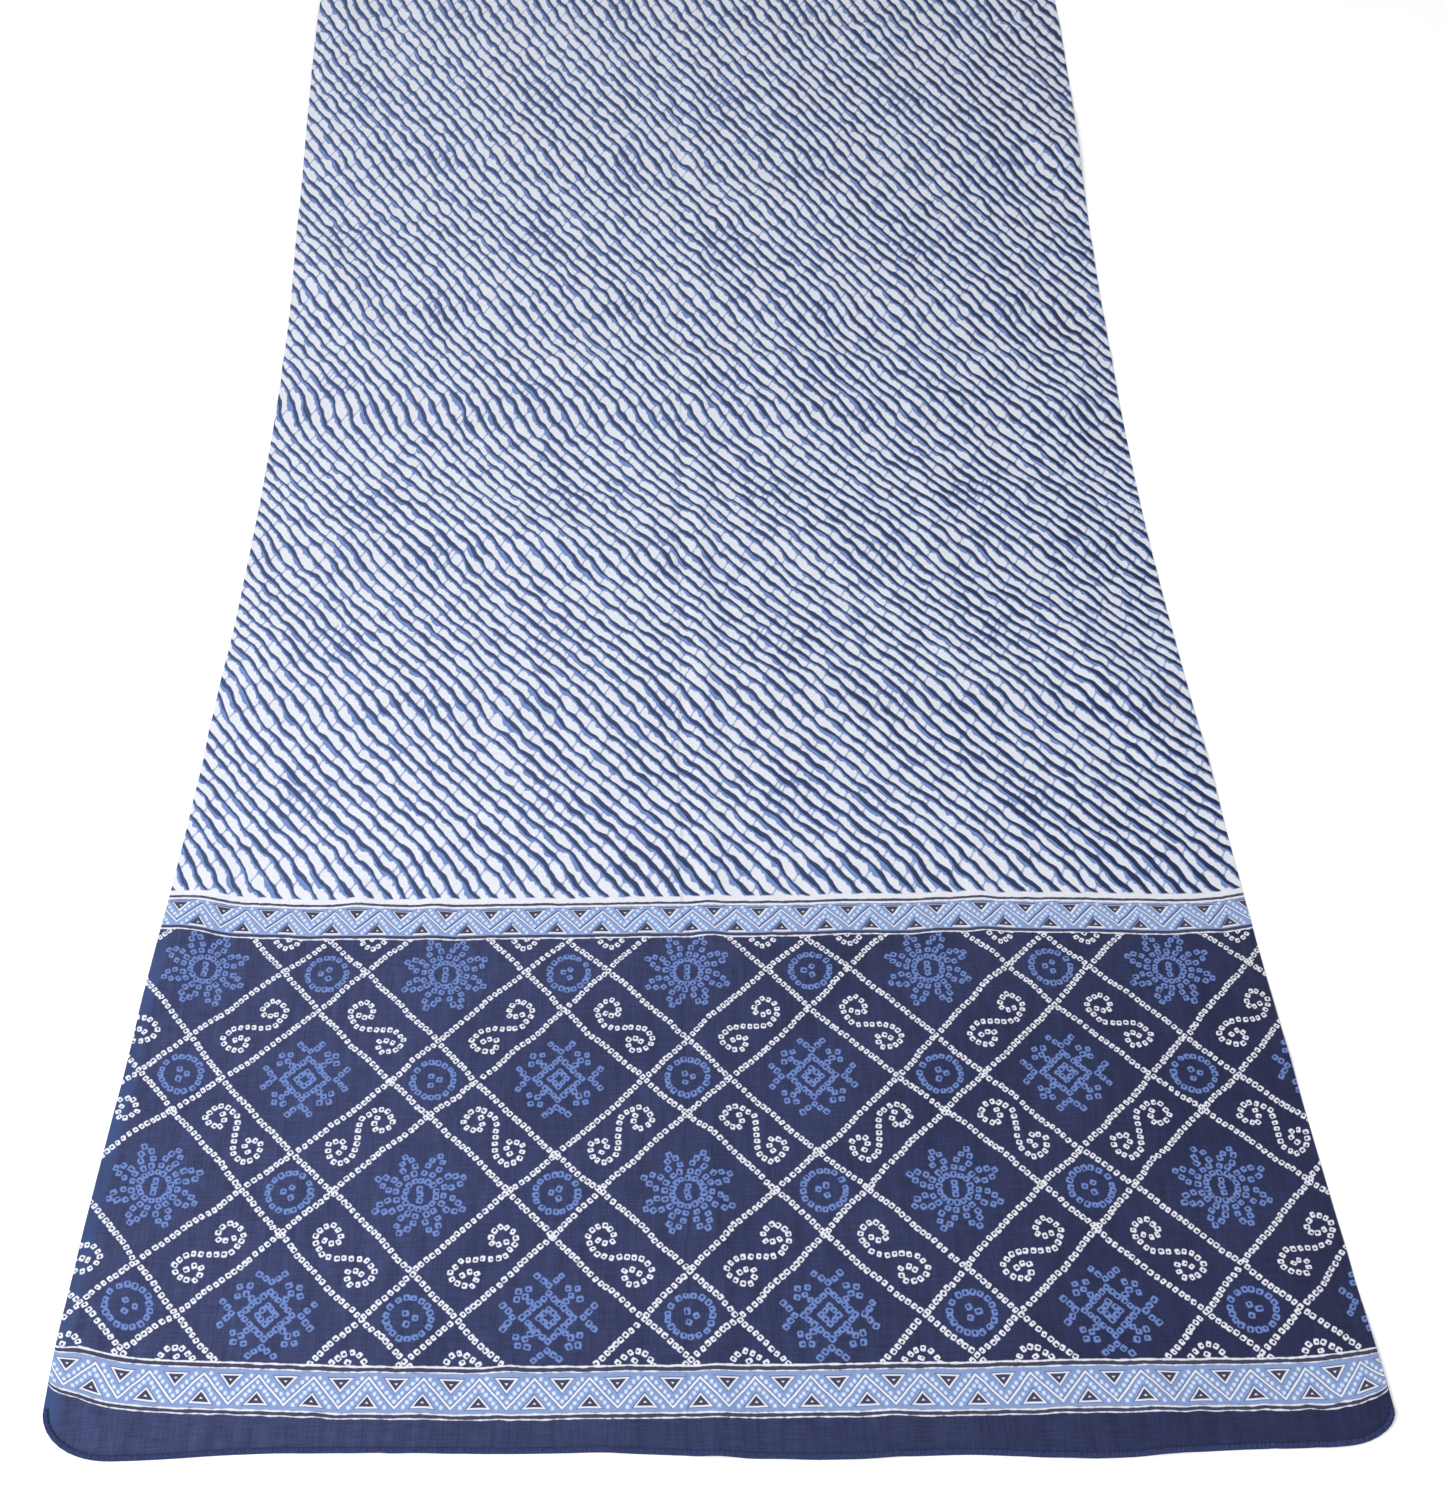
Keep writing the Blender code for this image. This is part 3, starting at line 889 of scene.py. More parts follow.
# From metres to mm, along a dot's row and across it. More than 1000 makes the dot smaller.
BLUE_SCALE = (880, 1000, 0)
WHITE_ADDS = (255, 45, 0)
CHANCE_ADDS = (270, 0, 0)
HOLE_ASTRAY = (0.75, 0.60, 0)
HOLE_SCALE = (0.90, 1.20, 0)
HOLE_CLOSES = 0.45
HOLE_EDGE = (1.00, 1.66)


def shift_by(add, chance, reach):
    """A random colour, each channel from 0 to 1, as a shift of up to the reach either way."""
    return add("VectorMath MULTIPLY_ADD", chance, [2 * side for side in reach], [-side for side in reach])


def dot_ink(add, place, number):
    """How much white and how much blue ink one charted dot puts down. Sizes in here are in millimetres."""
    dot = add("Attribute", attribute_name=f"dot_{number}", out="Vector")
    code = add("SeparateXYZ", dot, out="Z")
    white = add("Math GREATER_THAN", code, 2 * np.pi * WHITE_RING)
    spot = add("Math GREATER_THAN", code, 2 * np.pi * WHITE_SPOT)
    chance = add("TexWhiteNoise", dot, out="Color")
    narrower = add("SeparateXYZ", chance, out="Z")

    aside = add("VectorMath SUBTRACT", place, dot)
    turned = add("VectorRotate", aside, None, code, rotation_type="Z_AXIS", invert=True)
    scale = add("VectorMath MULTIPLY_ADD", white, WHITE_ADDS, BLUE_SCALE)
    scale = add("VectorMath MULTIPLY_ADD", narrower, CHANCE_ADDS, scale)
    flat = add("VectorMath MULTIPLY", turned, scale)
    squared = add("VectorMath MULTIPLY", flat, flat)
    fourth = add("VectorMath MULTIPLY", squared, squared)
    out_to = add("Math POWER", add("VectorMath DOT_PRODUCT", fourth, (1, 1, 0), out="Value"), 0.25)
    past = add("Math SUBTRACT", out_to, add("Math MULTIPLY_ADD", spot, SPOT_SMALLER, RING_HALF))
    past = add("Math MULTIPLY", past, add("Math MULTIPLY_ADD", spot, SPOT_SOFTER, 1.0))
    body = add("MapRange SMOOTHSTEP", past, -DOT_EDGE, DOT_EDGE, 1.0, 0.0)

    from_hole = add("VectorMath SUBTRACT", flat, shift_by(add, chance, HOLE_ASTRAY))
    hole_out = add("VectorMath LENGTH", add("VectorMath MULTIPLY", from_hole, HOLE_SCALE), out="Value")
    hole_out = add("Math MULTIPLY_ADD", narrower, HOLE_CLOSES, hole_out)
    hole = add("MapRange SMOOTHSTEP", hole_out, *HOLE_EDGE, 0.97, 0.0)
    open_hole = add("Math SUBTRACT", hole, spot, use_clamp=True)
    ink = add("Math MULTIPLY", body, add("Math SUBTRACT", 1.0, open_hole))
    white_ink = add("Math MULTIPLY", ink, white)
    return white_ink, add("Math SUBTRACT", ink, white_ink)


def all_dots(add, place):
    """The most ink, of each colour, that any of the face's charted dots puts down."""
    white, blue = dot_ink(add, place, 0)
    for number in range(1, DOTS_A_FACE):
        more_white, more_blue = dot_ink(add, place, number)
        white = add("Math MAXIMUM", white, more_white)
        blue = add("Math MAXIMUM", blue, more_blue)
    return white, blue


print(f"Each dot is {2 * RING_HALF:.1f} mm across, and a spot {2 * (RING_HALF + SPOT_SMALLER):.1f} mm")

# %% [markdown]
# The two borders share one drawing. A triangle wave gives the zigzag, and a point's distance from it in
# millimetres gives its line. The small triangles are the space between three straight sides: in the upper
# row they hang in the valleys, in the lower row they stand under the peaks, so one drawing serves both,
# flipped. The shapes are worked out twice, for the dark block and then for the white one, which slipped a
# little to the lower right, so that a dark edge peeps out on one side.


# %% Measure the shapes of a zigzag border
def triangle_depth(add, aside, above):
    """How deep a point lies in a triangle that stands on its base, in mm: the least distance to a side.

    The base is at 0 and the point at 10.9 mm. The two slanted sides fall by 1.27 mm for each 1 mm aside.
    """
    from_slant = add("Math MULTIPLY_ADD", above, -0.62, add("Math MULTIPLY_ADD", aside, -0.785, 6.75))
    return add("Math MINIMUM", from_slant, above)


def border_shapes(add, u, v, border, slip):
    """The distance from the zigzag and the depth in the nearest triangle, in mm, for a slipped block."""
    half_period = 500 * border.period
    high = 1000 * (border.peak - border.valley)
    slope = high / half_period
    periods = add("Math MULTIPLY", add("Math ADD", u, -border.peak_u - slip), 1 / border.period)
    aside = add("Math MULTIPLY", add("Math PINGPONG", periods, 0.5), 2 * half_period)
    above = add("Math MULTIPLY_ADD", add("Math ADD", v, slip), 1000, -1000 * border.valley)
    up_from = add("Math SUBTRACT", above, add("Math MULTIPLY_ADD", aside, -slope, high))
    off_line = add("Math MULTIPLY", up_from, 1 / np.hypot(1, slope))

    upright = triangle_depth(add, aside, add("Math ADD", above, 1000 * (border.valley - border.stand)))
    from_valley = add("Math SUBTRACT", half_period, aside)
    hung_above = add("Math SUBTRACT", 1000 * (border.hang - border.valley), above)
    hung = triangle_depth(add, from_valley, hung_above)
    return off_line, add("Math MAXIMUM", upright, hung)


steep = np.degrees(np.arctan((BORDERS[0].peak - BORDERS[0].valley) / (BORDERS[0].period / 2)))
print(f"A zigzag climbs at {steep:.0f} degrees")

# %% [markdown]
# A layer is a value, the band of that value where the ink lies, and the ink. The layers go down in order,
# from the dark edges to the white dot inside each triangle.

# %% Paint a zigzag border
DARK_EDGE = 0.48
DOT_IN_TRIANGLE = 3.56
NO_END = 9.0


def band(add, value, low, high, soft):
    """1 where the value is between low and high, with soft edges. NO_END is higher than any value here."""
    rise = add("MapRange SMOOTHSTEP", value, low - soft, low + soft, 0.0, 1.0)
    fall = add("MapRange SMOOTHSTEP", value, high - soft, high + soft, 1.0, 0.0)
    return add("Math MULTIPLY", rise, fall)


def mix(add, share, first, second):
    """The first colour where the share is 0, and the second where it is 1."""
    return add("Mix", share, first, second, data_type="RGBA")


def border_colour(add, u, v, border):
    """The colours of one zigzag border, from its u and v in the print in metres."""
    off_line, depth = border_shapes(add, u, v, border, 0.0)
    white_line, white_depth = border_shapes(add, u, v, border, border.slip)
    edge = border.half_line + DARK_EDGE
    layers = (
        (off_line, -edge, edge, 0.30, ZIGZAG_EDGE),
        (depth, -0.42, NO_END, 0.30, ZIGZAG_EDGE),
        (white_line, -border.half_line, border.half_line, 0.25, WHITE),
        (white_depth, 0.10, NO_END, 0.22, WHITE),
        (depth, 0.10 + 1.55 * border.half_line, NO_END, 0.25, OUTLINE),
        (white_depth, DOT_IN_TRIANGLE, NO_END, 0.25, WHITE),
    )
    colour = linear(border.ground)
    for value, low, high, soft, ink in layers:
        colour = mix(add, band(add, value, low, high, soft), colour, ink)
    return colour


for border in BORDERS:
    print(f"White lines {2 * border.half_line:.1f} mm wide, with {DARK_EDGE} mm of dark edge")

# %% [markdown]
# Across one wave, from its lower left to its upper right, lie a fringe of cornflower, a navy stroke and
# white cloth. The fringe's outer edge is scalloped by the beads of white beside it. Voronoi noise in one
# dimension sets the scallops, about 9 mm long, and the thin ticks that cut the white every 30 mm or so,
# and every 13 mm where the block was heavily inked. A tick flares where it meets the fringe. Each stroke
# also swells, thins and bends along its length by noise that is its own. Widths in here are shares of a
# wave, which is 11.7 mm wide.

# %% Set the uneven marks and the swells along a stroke
SCALLOP = 0.0086
TICK_GAP = 0.0300
CLOSE_TICK_GAP = 0.0130
SWELL_MM = 21.74
RAGGED_MM = 3.03


def from_edge(add, run, gap, row, seed):
    """The distance in mm from the nearest of a row's uneven marks, which are one gap apart or so."""
    marks = add("Math MULTIPLY_ADD", run, 1 / gap, add("Math MULTIPLY", row, seed))
    away = add("TexVoronoi", marks, 1.0, voronoi_dimensions="1D", feature="DISTANCE_TO_EDGE")
    return add("Math MULTIPLY", away, 1000 * gap)


def stroke_noise(add, run, stroke, long_mm, seed, **settings):
    """Noise along a stroke, of lumps about so many mm long. The seed sets each stroke's noise apart."""
    place = add("VectorMath MULTIPLY", add("CombineXYZ", run, stroke), (1000 / long_mm, seed, 0))
    return add("TexNoise", place, 1.0, 1.0, 0.5, noise_dimensions="2D", **settings)


print(f"Ticks are {1000 * TICK_GAP:.0f} mm apart, or {1000 * CLOSE_TICK_GAP:.0f} mm where the ink is heavy")

# %% Paint the waves
# Across a wave: half the navy stroke's width where it is thin and where it is thick, how far it bends, and
# what heavy ink and deep navy add. Then the fringe's width, its scallops' depth, and what a blot adds.
NAVY_HALF = (0.085, 0.205)
BENDS = 0.16
HEAVY_ADDS = 0.075
DEEP_ADDS = 0.041
FRINGE_WIDE = 0.212
SCALLOPED = -0.090
BLOT_ADDS = 0.20


def wave_colour(add, deep):
    """The waves' colours, from the count, the run and the ink at each point, and how deep the navy is."""
    charted = add("Attribute", attribute_name="waves", out="Vector")
    count, run, ink = add("SeparateXYZ", charted).node.outputs
    gap = add("Math FLOOR", count)
    stroke = add("Math FLOOR", add("Math ADD", count, 0.5))
    slow = stroke_noise(add, run, stroke, SWELL_MM, 5.13, out="Color")
    swell, sway, blot = add("SeparateXYZ", slow).node.outputs
    ragged = stroke_noise(add, run, stroke, RAGGED_MM, 3.71)

    # Half a stroke's width grows where the noise swells it, where the ink is heavy and where it is deep.
    from_middle = add("Math SUBTRACT", count, stroke)
    q = add("Math ADD", from_middle, add("MapRange", sway, 0.2, 0.8, -BENDS, BENDS))
    thick = add("MapRange", swell, 0.25, 0.75, *NAVY_HALF)
    inked = add("Math MULTIPLY_ADD", ink, HEAVY_ADDS, -0.050)
    inked = add("Math MULTIPLY_ADD", deep, DEEP_ADDS, inked)
    half = add("Math ADD", thick, inked)
    away = add("Math ADD", add("Math ABSOLUTE", q), add("Math MULTIPLY_ADD", ragged, 0.06, -0.03))
    past = add("Math SUBTRACT", away, half)
    navy = add("MapRange SMOOTHSTEP", past, -0.040, 0.040, 1.0, 0.0)

    # The fringe lies on the lower side alone. It is widest at the notches and ticks, and where ink blotted.
    scallop = from_edge(add, run, SCALLOP, gap, 17.31)
    tick = from_edge(add, run, TICK_GAP, gap, 7.77)
    close_tick = from_edge(add, run, CLOSE_TICK_GAP, gap, 3.19)
    close_tick = add("Math ADD", close_tick, add("MapRange", ink, 0.60, 0.74, 9.0, 0.0))
    tick = add("Math MINIMUM", tick, close_tick)
    notch = add("Math MINIMUM", scallop, tick)
    full = add("MapRange SMOOTHSTEP", notch, -0.6, 2.6, 0.0, 1.0)
    blotted = add("MapRange SMOOTHSTEP", blot, 0.52, 0.72, 0.0, BLOT_ADDS)
    fringe = add("Math ADD", add("Math MULTIPLY_ADD", full, SCALLOPED, FRINGE_WIDE), blotted)
    fringe = add("Math MULTIPLY_ADD", ragged, 0.04, fringe)
    on_lower_side = add("Math LESS_THAN", q, 0.0)
    into_white = add("Math SUBTRACT", past, add("Math MULTIPLY", fringe, on_lower_side))
    in_fringe = add("MapRange SMOOTHSTEP", into_white, -0.055, 0.045, 1.0, 0.0)
    in_fringe = add("Math MULTIPLY", in_fringe, on_lower_side)

    flare = add("MapRange SMOOTHSTEP", into_white, 0.0, 0.18, 1.3, 0.0)
    tick = add("Math SUBTRACT", tick, flare)
    on_tick = add("MapRange SMOOTHSTEP", tick, 0.25, 1.00, 0.90, 0.0)
    colour = mix(add, on_tick, WHITE, TICK_BLUE)
    colour = mix(add, in_fringe, colour, WAVE_BLUE)
    return mix(add, navy, colour, mix(add, deep, WAVE_NAVY, WAVE_NAVY_DEEP))


thin, thick = 2 * wave_mm * np.array(NAVY_HALF)
print(f"A navy stroke is {thin:.1f} to {thick:.1f} mm wide")

# %% [markdown]
# The navy ground was dyed, not printed. Dye takes unevenly: in fine streaks along the threads both ways,
# in broad streaks along the cloth, and in wide patches. The navy is also darker towards the right. Beside
# the left selvedge it is worn to a lighter blue. Every colour is then darkened towards the right by painted
# shade, and a little in the wide patches too. The middle of the cloth was pressed into a fold, and a faint
# darker line of painted shade lies beside it.

# %% Dye the ground
SLUBS_MM = 1.1
SLUB_LONG_MM = 22.2
BROAD_MM = 8.333
BROAD_LONG_MM = 62.5
SELVEDGE_WIDE = 0.0098
SELVEDGE_SOFT = 0.0038
# A faint painted shade line beside the fold pressed into the middle: its place, half width, wander and
# darkening.
FOLD_AT = -0.0080
FOLD_HALF = 0.0009
FOLD_WANDERS = 0.024
FOLD_PAINTED_SHADE = -0.22
# How much darker every colour is where the navy is deepest: painted shade towards the right, uneven tone in
# the patches.
RIGHT_PAINTED_SHADE = -0.055


def cotton_streaks(add, place):
    """Fine streaks along and across the cloth, about 1 in the middle: threads that took more or less dye.

    Real threads are about 0.25 mm apart. They are drawn four times as coarse, to show at all.
    """
    streaks = []
    for wide_mm, long_mm in ((SLUBS_MM, SLUB_LONG_MM), (SLUB_LONG_MM, SLUBS_MM)):
        stretched = add("VectorMath MULTIPLY", place, (1000 / wide_mm, 1000 / long_mm, 0))
        streaks.append(add("TexNoise", stretched, 1.0, 2.0, 0.6, noise_dimensions="2D"))
    return add("Math ADD", *streaks)


def dyed_ground(add, place, away, u, patch, deep, streaks):
    """The navy of the ends, from its patches, its streaks and how worn the left selvedge is."""
    stretched = add("VectorMath MULTIPLY", place, (1000 / BROAD_MM, 1000 / BROAD_LONG_MM, 0))
    broad = add("TexNoise", stretched, 1.0, 2.0, 0.6, noise_dimensions="2D")
    taken = add("Math MULTIPLY_ADD", broad, 0.9, streaks)
    uneven = add("MapRange", taken, 1.05, 1.85, 0.70, 1.30)
    navy = add("VectorMath SCALE", mix(add, deep, NAVY, NAVY_DEEP), uneven)

    to_left = add("Math MULTIPLY", u, add("Math SIGN", away))
    at_selvedge = band(add, to_left, WIDTH / 2 - SELVEDGE_WIDE, NO_END, SELVEDGE_SOFT)
    worn = add("Math MULTIPLY", at_selvedge, add("MapRange", patch, 0.38, 0.56, 0.35, 1.0))
    return mix(add, worn, navy, SELVEDGE_BLUE)


def tone_and_painted_shade(add, right, patch, deep, streaks):
    """What all colours are multiplied by: the streaks, painted shade that darkens them towards the right
    and a little in the patches, and a faint painted shade line beside the pressed fold.
    """
    dyed = add("MapRange", streaks, 0.7, 1.3, 0.94, 1.06)
    # Every colour darkens where the navy is deep: painted shade towards the right, and uneven tone in the
    # patches.
    painted_shade_and_tone = add("Math MULTIPLY_ADD", deep, RIGHT_PAINTED_SHADE, 1.015)
    # Painted shade: a thin darker line beside the pressed fold.
    wandering = add("Math MULTIPLY_ADD", patch, FOLD_WANDERS, right)
    pressed = band(add, wandering, FOLD_AT - FOLD_HALF, FOLD_AT + FOLD_HALF, FOLD_HALF)
    painted_shade_and_tone = add("Math MULTIPLY_ADD", pressed, FOLD_PAINTED_SHADE, painted_shade_and_tone)
    return add("Math MULTIPLY", dyed, painted_shade_and_tone)


print(f"Streaks are {SLUBS_MM} and {BROAD_MM:.1f} mm wide, the worn selvedge {1000 * SELVEDGE_WIDE:.0f} mm")

# %% [markdown]
# The thin lines are printed last. A table gives each line's distance from the hem, its width and its ink.
# The line is worn thin in places by fine noise. The field of waves starts on a plain margin above the
# upper border.

# %% Print the field's start and the thin lines
# A line's middle, as a distance from the hem, and its width, in metres, and its ink.
LINES = (
    (0.02885, 0.0025, OUTLINE),
    (0.0272, 0.0008, WHITE),
    (0.0308, 0.0012, WHITE),
    (0.0634, 0.0025, OUTLINE),
    (0.0613, 0.0008, WHITE),
    (0.0654, 0.0014, WHITE),
    (0.4380, 0.0026, OUTLINE),
    (0.4361, 0.0012, WHITE),
    (0.4708, 0.0020, OUTLINE),
    (0.4683, 0.0021, WHITE),
)
LINE_SOFT = 0.0003
WEAR = 0.0016
WEAR_MM = 6.25
MARGIN_FROM = 0.4700
FIELD_FROM = 0.4792
RAGGED_START = 0.004
START_MM = 11.11


def field_of_waves(add, place, v, deep, colour):
    """The margin and the waves laid over the colours so far. The waves' first edge is ragged."""
    margin = band(add, v, MARGIN_FROM, NO_END, 0.0003)
    colour = mix(add, margin, colour, WHITE)
    uneven = add("TexNoise", place, 1000 / START_MM, 1.0, 0.5)
    field_v = add("Math MULTIPLY_ADD", uneven, RAGGED_START, v)
    field = band(add, field_v, FIELD_FROM, NO_END, 0.0009)
    return mix(add, field, colour, wave_colour(add, deep))


def thin_lines(add, place, v, colour):
    """The thin lines laid over the colours so far."""
    worn = add("TexNoise", place, 1000 / WEAR_MM, 2.0, 0.6)
    for from_hem, wide, ink in LINES:
        off_line = add("Math ABSOLUTE", add("Math SUBTRACT", v, from_hem))
        off_line = add("Math MULTIPLY_ADD", worn, WEAR, off_line)
        edge = wide / 2 + WEAR / 2
        on_line = add("MapRange", off_line, edge - LINE_SOFT, edge + LINE_SOFT, 1.0, 0.0)
        colour = mix(add, on_line, colour, ink)
    return colour


print(f"{len(LINES)} thin lines, {1000 * min(wide for _, wide, _ in LINES):.1f} mm wide at the least")

# %% [markdown]
# The whole print trembles a little, because everything in it reads one shaken copy of the print's map. The
# reverse of the cloth has the same print, where the ink has only soaked through.

# %% Put the layers together
PATCH_MM = 111.1
TREMBLE_MM = 16.67
TREMBLE = (0.0007, 0.0008, 0)


def printed_cotton(name, bleed):
    """Block-printed cotton lawn: matt, fibrous, with dye that varies thread by thread.

    The bleed is how much of the pale cloth shows through the ink: none on the face, and a good part on the
    reverse.
    """
    matt = {"Roughness": 0.88, "Specular IOR Level": 0.25, "Sheen Weight": 0.12, "Sheen Roughness": 0.45}
    material, shader, add = start_material(name, matt)
    place = add("TexCoord", out="Object")
    right, away, _ = add("SeparateXYZ", place).node.outputs
    shake = add("TexNoise", place, 1000 / TREMBLE_MM, 1.0, 0.5, out="Color")
    in_print = add("VectorMath ADD", add("UVMap", uv_map="print"), shift_by(add, shake, TREMBLE))
    u, v, _ = add("SeparateXYZ", in_print).node.outputs

    # How deep the navy is, in patches and growing towards the right. It also sets the painted shade to the
    # right.
    patch = add("TexNoise", place, 1000 / PATCH_MM, 3.0, 0.6)
    depth = add("Math MULTIPLY_ADD", patch, 0.7, right)
    deep = add("MapRange", depth, 0.03, 0.80, 0.0, 1.0)
    streaks = cotton_streaks(add, place)
    colour = dyed_ground(add, place, away, u, patch, deep, streaks)

    in_panel = band(add, v, LOWER_TOP, UPPER_FOOT, 0.0003)
    white, blue = all_dots(add, in_print)
    colour = mix(add, add("Math MULTIPLY", blue, in_panel), colour, DOT_BLUE)
    colour = mix(add, add("Math MULTIPLY", white, in_panel), colour, WHITE)
    for border in BORDERS:
        zigzag = mix(add, white, border_colour(add, u, v, border), SPOT_WHITE)
        colour = mix(add, band(add, v, border.foot, border.top, 0.0002), colour, zigzag)
    colour = field_of_waves(add, place, v, deep, colour)
    colour = thin_lines(add, place, v, colour)

    colour = mix(add, bleed, colour, WHITE)
    # Every colour is multiplied by the streaks, and by painted shade towards the right and beside the fold.
    colour = add("VectorMath SCALE", colour, tone_and_painted_shade(add, right, patch, deep, streaks))
    material.node_tree.links.new(colour, shader.inputs["Base Color"])
    material.node_tree.links.new(add("Bump", 0.25, 0.0002, None, streaks), shader.inputs["Normal"])
    return material


face_cotton = printed_cotton("block-printed cotton, face", 0.0)
sheet.data.materials.append(face_cotton)
sheet.data.materials.append(printed_cotton("block-printed cotton, reverse", 0.40))
print(f"The print's material has {len(face_cotton.node_tree.nodes)} nodes")

# %% [markdown]
# ## The rolled hems
#
# The end of a fine shawl is rolled between finger and thumb into a cord, here 4 mm wide and 2.5 mm high,
# and sewn over and over with one thread. Each stitch nips the roll, so that it looks like a row of small
# beads. The roll is a tube carried along the hem whose radius dips at each stitch, and the thread is a
# second, much thinner tube, wound round it once for each stitch.

# %% Carry a tube along a path
def headings(path):
    """Unit vectors ahead along the path and level to its left, which is up crossed with ahead."""
    ahead = np.gradient(path, axis=0)
    ahead /= np.linalg.norm(ahead, axis=1, keepdims=True)
    left = np.cross([0.0, 0.0, 1.0], ahead)
    return ahead, left / np.linalg.norm(left, axis=1, keepdims=True)


def tube(path, half_wide, half_high, sides):
    """A tube on a path: the points of ellipses in the plane across it, and faces with closed ends.

    An ellipse's points are its centre, plus the cosine of an angle times its half width sideways, plus the
    sine times its half height in the direction that is square to both that and the path.
    """
    ahead, left = headings(path)
    over = np.cross(ahead, left)
    angle = -2 * np.pi * np.arange(sides) / sides
    out = np.reshape(half_wide, (-1, 1, 1)) * left[:, None] * np.cos(angle)[:, None]
    up = np.reshape(half_high, (-1, 1, 1)) * over[:, None] * np.sin(angle)[:, None]
    points = path[:, None] + out + up
    first = list(range(sides))
    last = [(len(path) - 1) * sides + i for i in reversed(range(sides))]
    return points, grid_faces(len(path), sides, closed=True), (first, last)


def even_path(path, step):
    """The same path with its points evenly spaced, about one step apart, and their distances along it."""
    run = np.concatenate([[0.0], np.cumsum(np.linalg.norm(np.diff(path, axis=0), axis=1))])
    at = np.linspace(0, run[-1], round(run[-1] / step) + 1)
    return np.column_stack([np.interp(at, run, path[:, i]) for i in range(3)]), at


_, along_hem = even_path(points[0], CELL)
print(f"The near hem is {along_hem[-1]:.3f} m long from corner to corner")


# %% Roll a hem and sew it
ROLL_HALF_WIDE = 0.0020
ROLL_HALF_HIGH = 0.00125
ROLL_SIDES = 10
STITCH = 0.0037
STITCH_ASTRAY = 0.0008
NIP = 0.2
ENDS_CLOSE_OVER = 0.002
THREAD_RADIUS = 0.00018
THREAD_SIDES = 5
THREAD_SUNK = 0.94
ROLL_STEPS = 7
THREAD_STEPS = 12


def hem_path(end_row, inward):
    """The middle of the roll: the sheet's last row of points, half a roll in from the edge and up."""
    edge = points[end_row]
    _, left = headings(edge)
    return edge + inward * ROLL_HALF_WIDE * left + [0.0, 0.0, ROLL_HALF_HIGH - CLOTH_THICK]


def sewn_to(at):
    """Distance along the hem, with two slow sines added, so that hand stitches come out uneven."""
    return at + STITCH_ASTRAY * (np.sin(310 * at) + np.sin(187 * at + 1.0))


def rolled_hem(name, end_row, inward):
    """The roll, whose width and height dip at each stitch and close at both ends, and its thread.

    The dip is the eighth power of a cosine, so it is short. The thread's path is the roll's, plus a cosine
    sideways and a sine upwards of an angle that grows by a full circle with each stitch.
    """
    path, at = even_path(hem_path(end_row, inward), STITCH / ROLL_STEPS)
    nip = np.cos(np.pi * sewn_to(at) / STITCH) ** 8
    closing = (1 - NIP * nip) * np.sqrt(np.clip(np.minimum(at, at[-1] - at) / ENDS_CLOSE_OVER, 0.04, 1.0))
    roll = make_piece(name, *tube(path, ROLL_HALF_WIDE * closing, ROLL_HALF_HIGH * closing, ROLL_SIDES))

    path, at = even_path(hem_path(end_row, inward), STITCH / THREAD_STEPS)
    angle = 2 * np.pi * sewn_to(at) / STITCH
    _, left = headings(path)
    wound = path - THREAD_SUNK * ROLL_HALF_WIDE * left * np.cos(angle)[:, None]
    wound[:, 2] += THREAD_SUNK * ROLL_HALF_HIGH * np.sin(angle)
    thread = make_piece(name + "_thread", *tube(wound, THREAD_RADIUS, THREAD_RADIUS, THREAD_SIDES))
    return roll, thread


print(f"About {along_hem[-1] / STITCH:.0f} stitches along each hem")


# %% Make both hems of dyed cotton
def dyed_cotton(name, colour, streak_mm):
    """Dyed cotton yarn or cloth, matt, with streaks of darker and lighter fibre along the hem."""
    material, shader, add = start_material(name, {"Roughness": 0.9, "Specular IOR Level": 0.25})
    grain = add("TexNoise", add("TexCoord", out="Object"), 1000 / streak_mm, 2.0, 0.6)
    dyed = add("MapRange", grain, 0.35, 0.65, 0.78, 1.25)
    varied = add("VectorMath SCALE", colour[:3], dyed)
    material.node_tree.links.new(varied, shader.inputs["Base Color"])
    material.node_tree.links.new(add("Bump", 0.3, 0.0002, None, grain), shader.inputs["Normal"])
    return material


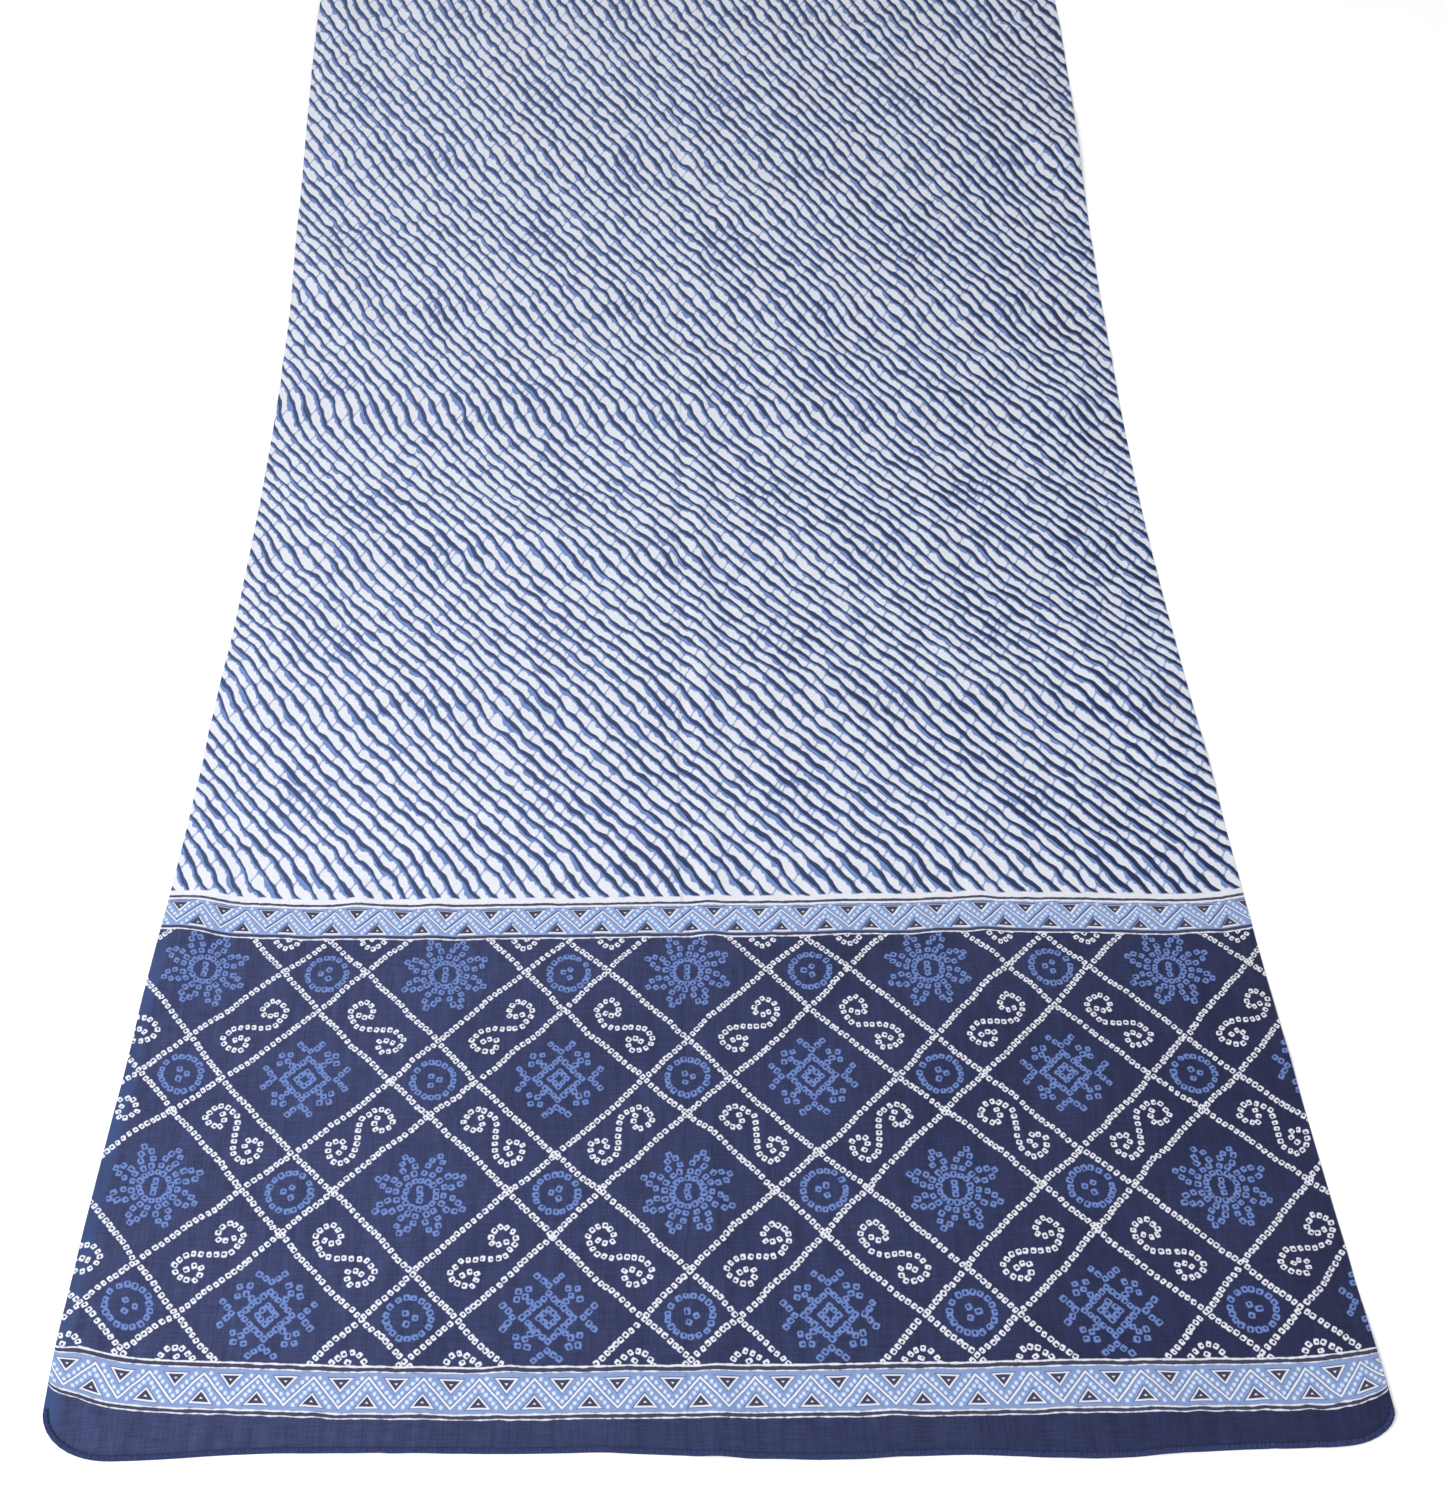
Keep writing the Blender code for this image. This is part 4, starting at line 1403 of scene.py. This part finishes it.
hem_cotton = dyed_cotton("navy cotton, rolled", linear("#262f55"), 2.4)
sewing_cotton = dyed_cotton("navy sewing cotton", linear("#36436c"), 5.0)
sewn = []
for name, end_row, inward in (("near_hem", 0, 1), ("far_hem", -1, -1)):
    roll, thread = rolled_hem(name, end_row, inward)
    roll.data.materials.append(hem_cotton)
    thread.data.materials.append(sewing_cotton)
    sewn += [roll, thread]
    print(f"{name}: {len(roll.data.polygons)} faces, and {len(thread.data.polygons)} in its thread")

# %% [markdown]
# ## Floor and light
#
# The cloth lies on a plain white floor. The light is soft: a bright even surround, and one lamp 1.6 m wide
# at the left front, low enough for the ridges to show.

# %% Set up the floor and the light
FLOOR_HALF = 12.0
FLOOR_BELOW = 0.0004
LAMP_AT = (-1.5, -2.05, 2.25)
LAMP_WIDE = 1.6
LAMP_WATTS = 64
SURROUND = 0.83

bpy.context.scene.view_settings.view_transform = "Standard"

corners = FLOOR_HALF * np.array([(-1, -1, 0), (1, -1, 0), (1, 1, 0), (-1, 1, 0)])
floor = make_piece("floor", corners - (0, 0, FLOOR_BELOW), np.array([[0, 1, 2, 3]]))
# Matt paint gives the eye no reflection, so the ground stays one even white.
paint, _, _ = start_material("matt white floor paint", {"Base Color": linear("#ffffff"), "Roughness": 0.9})
floor.data.materials.append(paint)

world = bpy.data.worlds.new("studio")
world.use_nodes = True
world.node_tree.nodes["Background"].inputs["Color"].default_value = linear("#fdfdff")
world.node_tree.nodes["Background"].inputs["Strength"].default_value = SURROUND
bpy.context.scene.world = world

lamp = bpy.data.objects.new("window_light", bpy.data.lights.new("window_light", "AREA"))
bpy.context.scene.collection.objects.link(lamp)
lamp.data.size = LAMP_WIDE
lamp.data.energy = LAMP_WATTS
lamp.location = LAMP_AT
lamp.rotation_euler = lamp.location.normalized().to_track_quat("Z", "Y").to_euler()
print(f"The lamp stands {lamp.location.length:.1f} m from the middle of the cloth")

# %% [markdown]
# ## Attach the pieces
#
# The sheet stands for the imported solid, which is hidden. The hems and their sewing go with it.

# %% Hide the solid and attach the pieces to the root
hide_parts("dupatta")
for piece in (sheet, *sewn):
    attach(piece, "root")
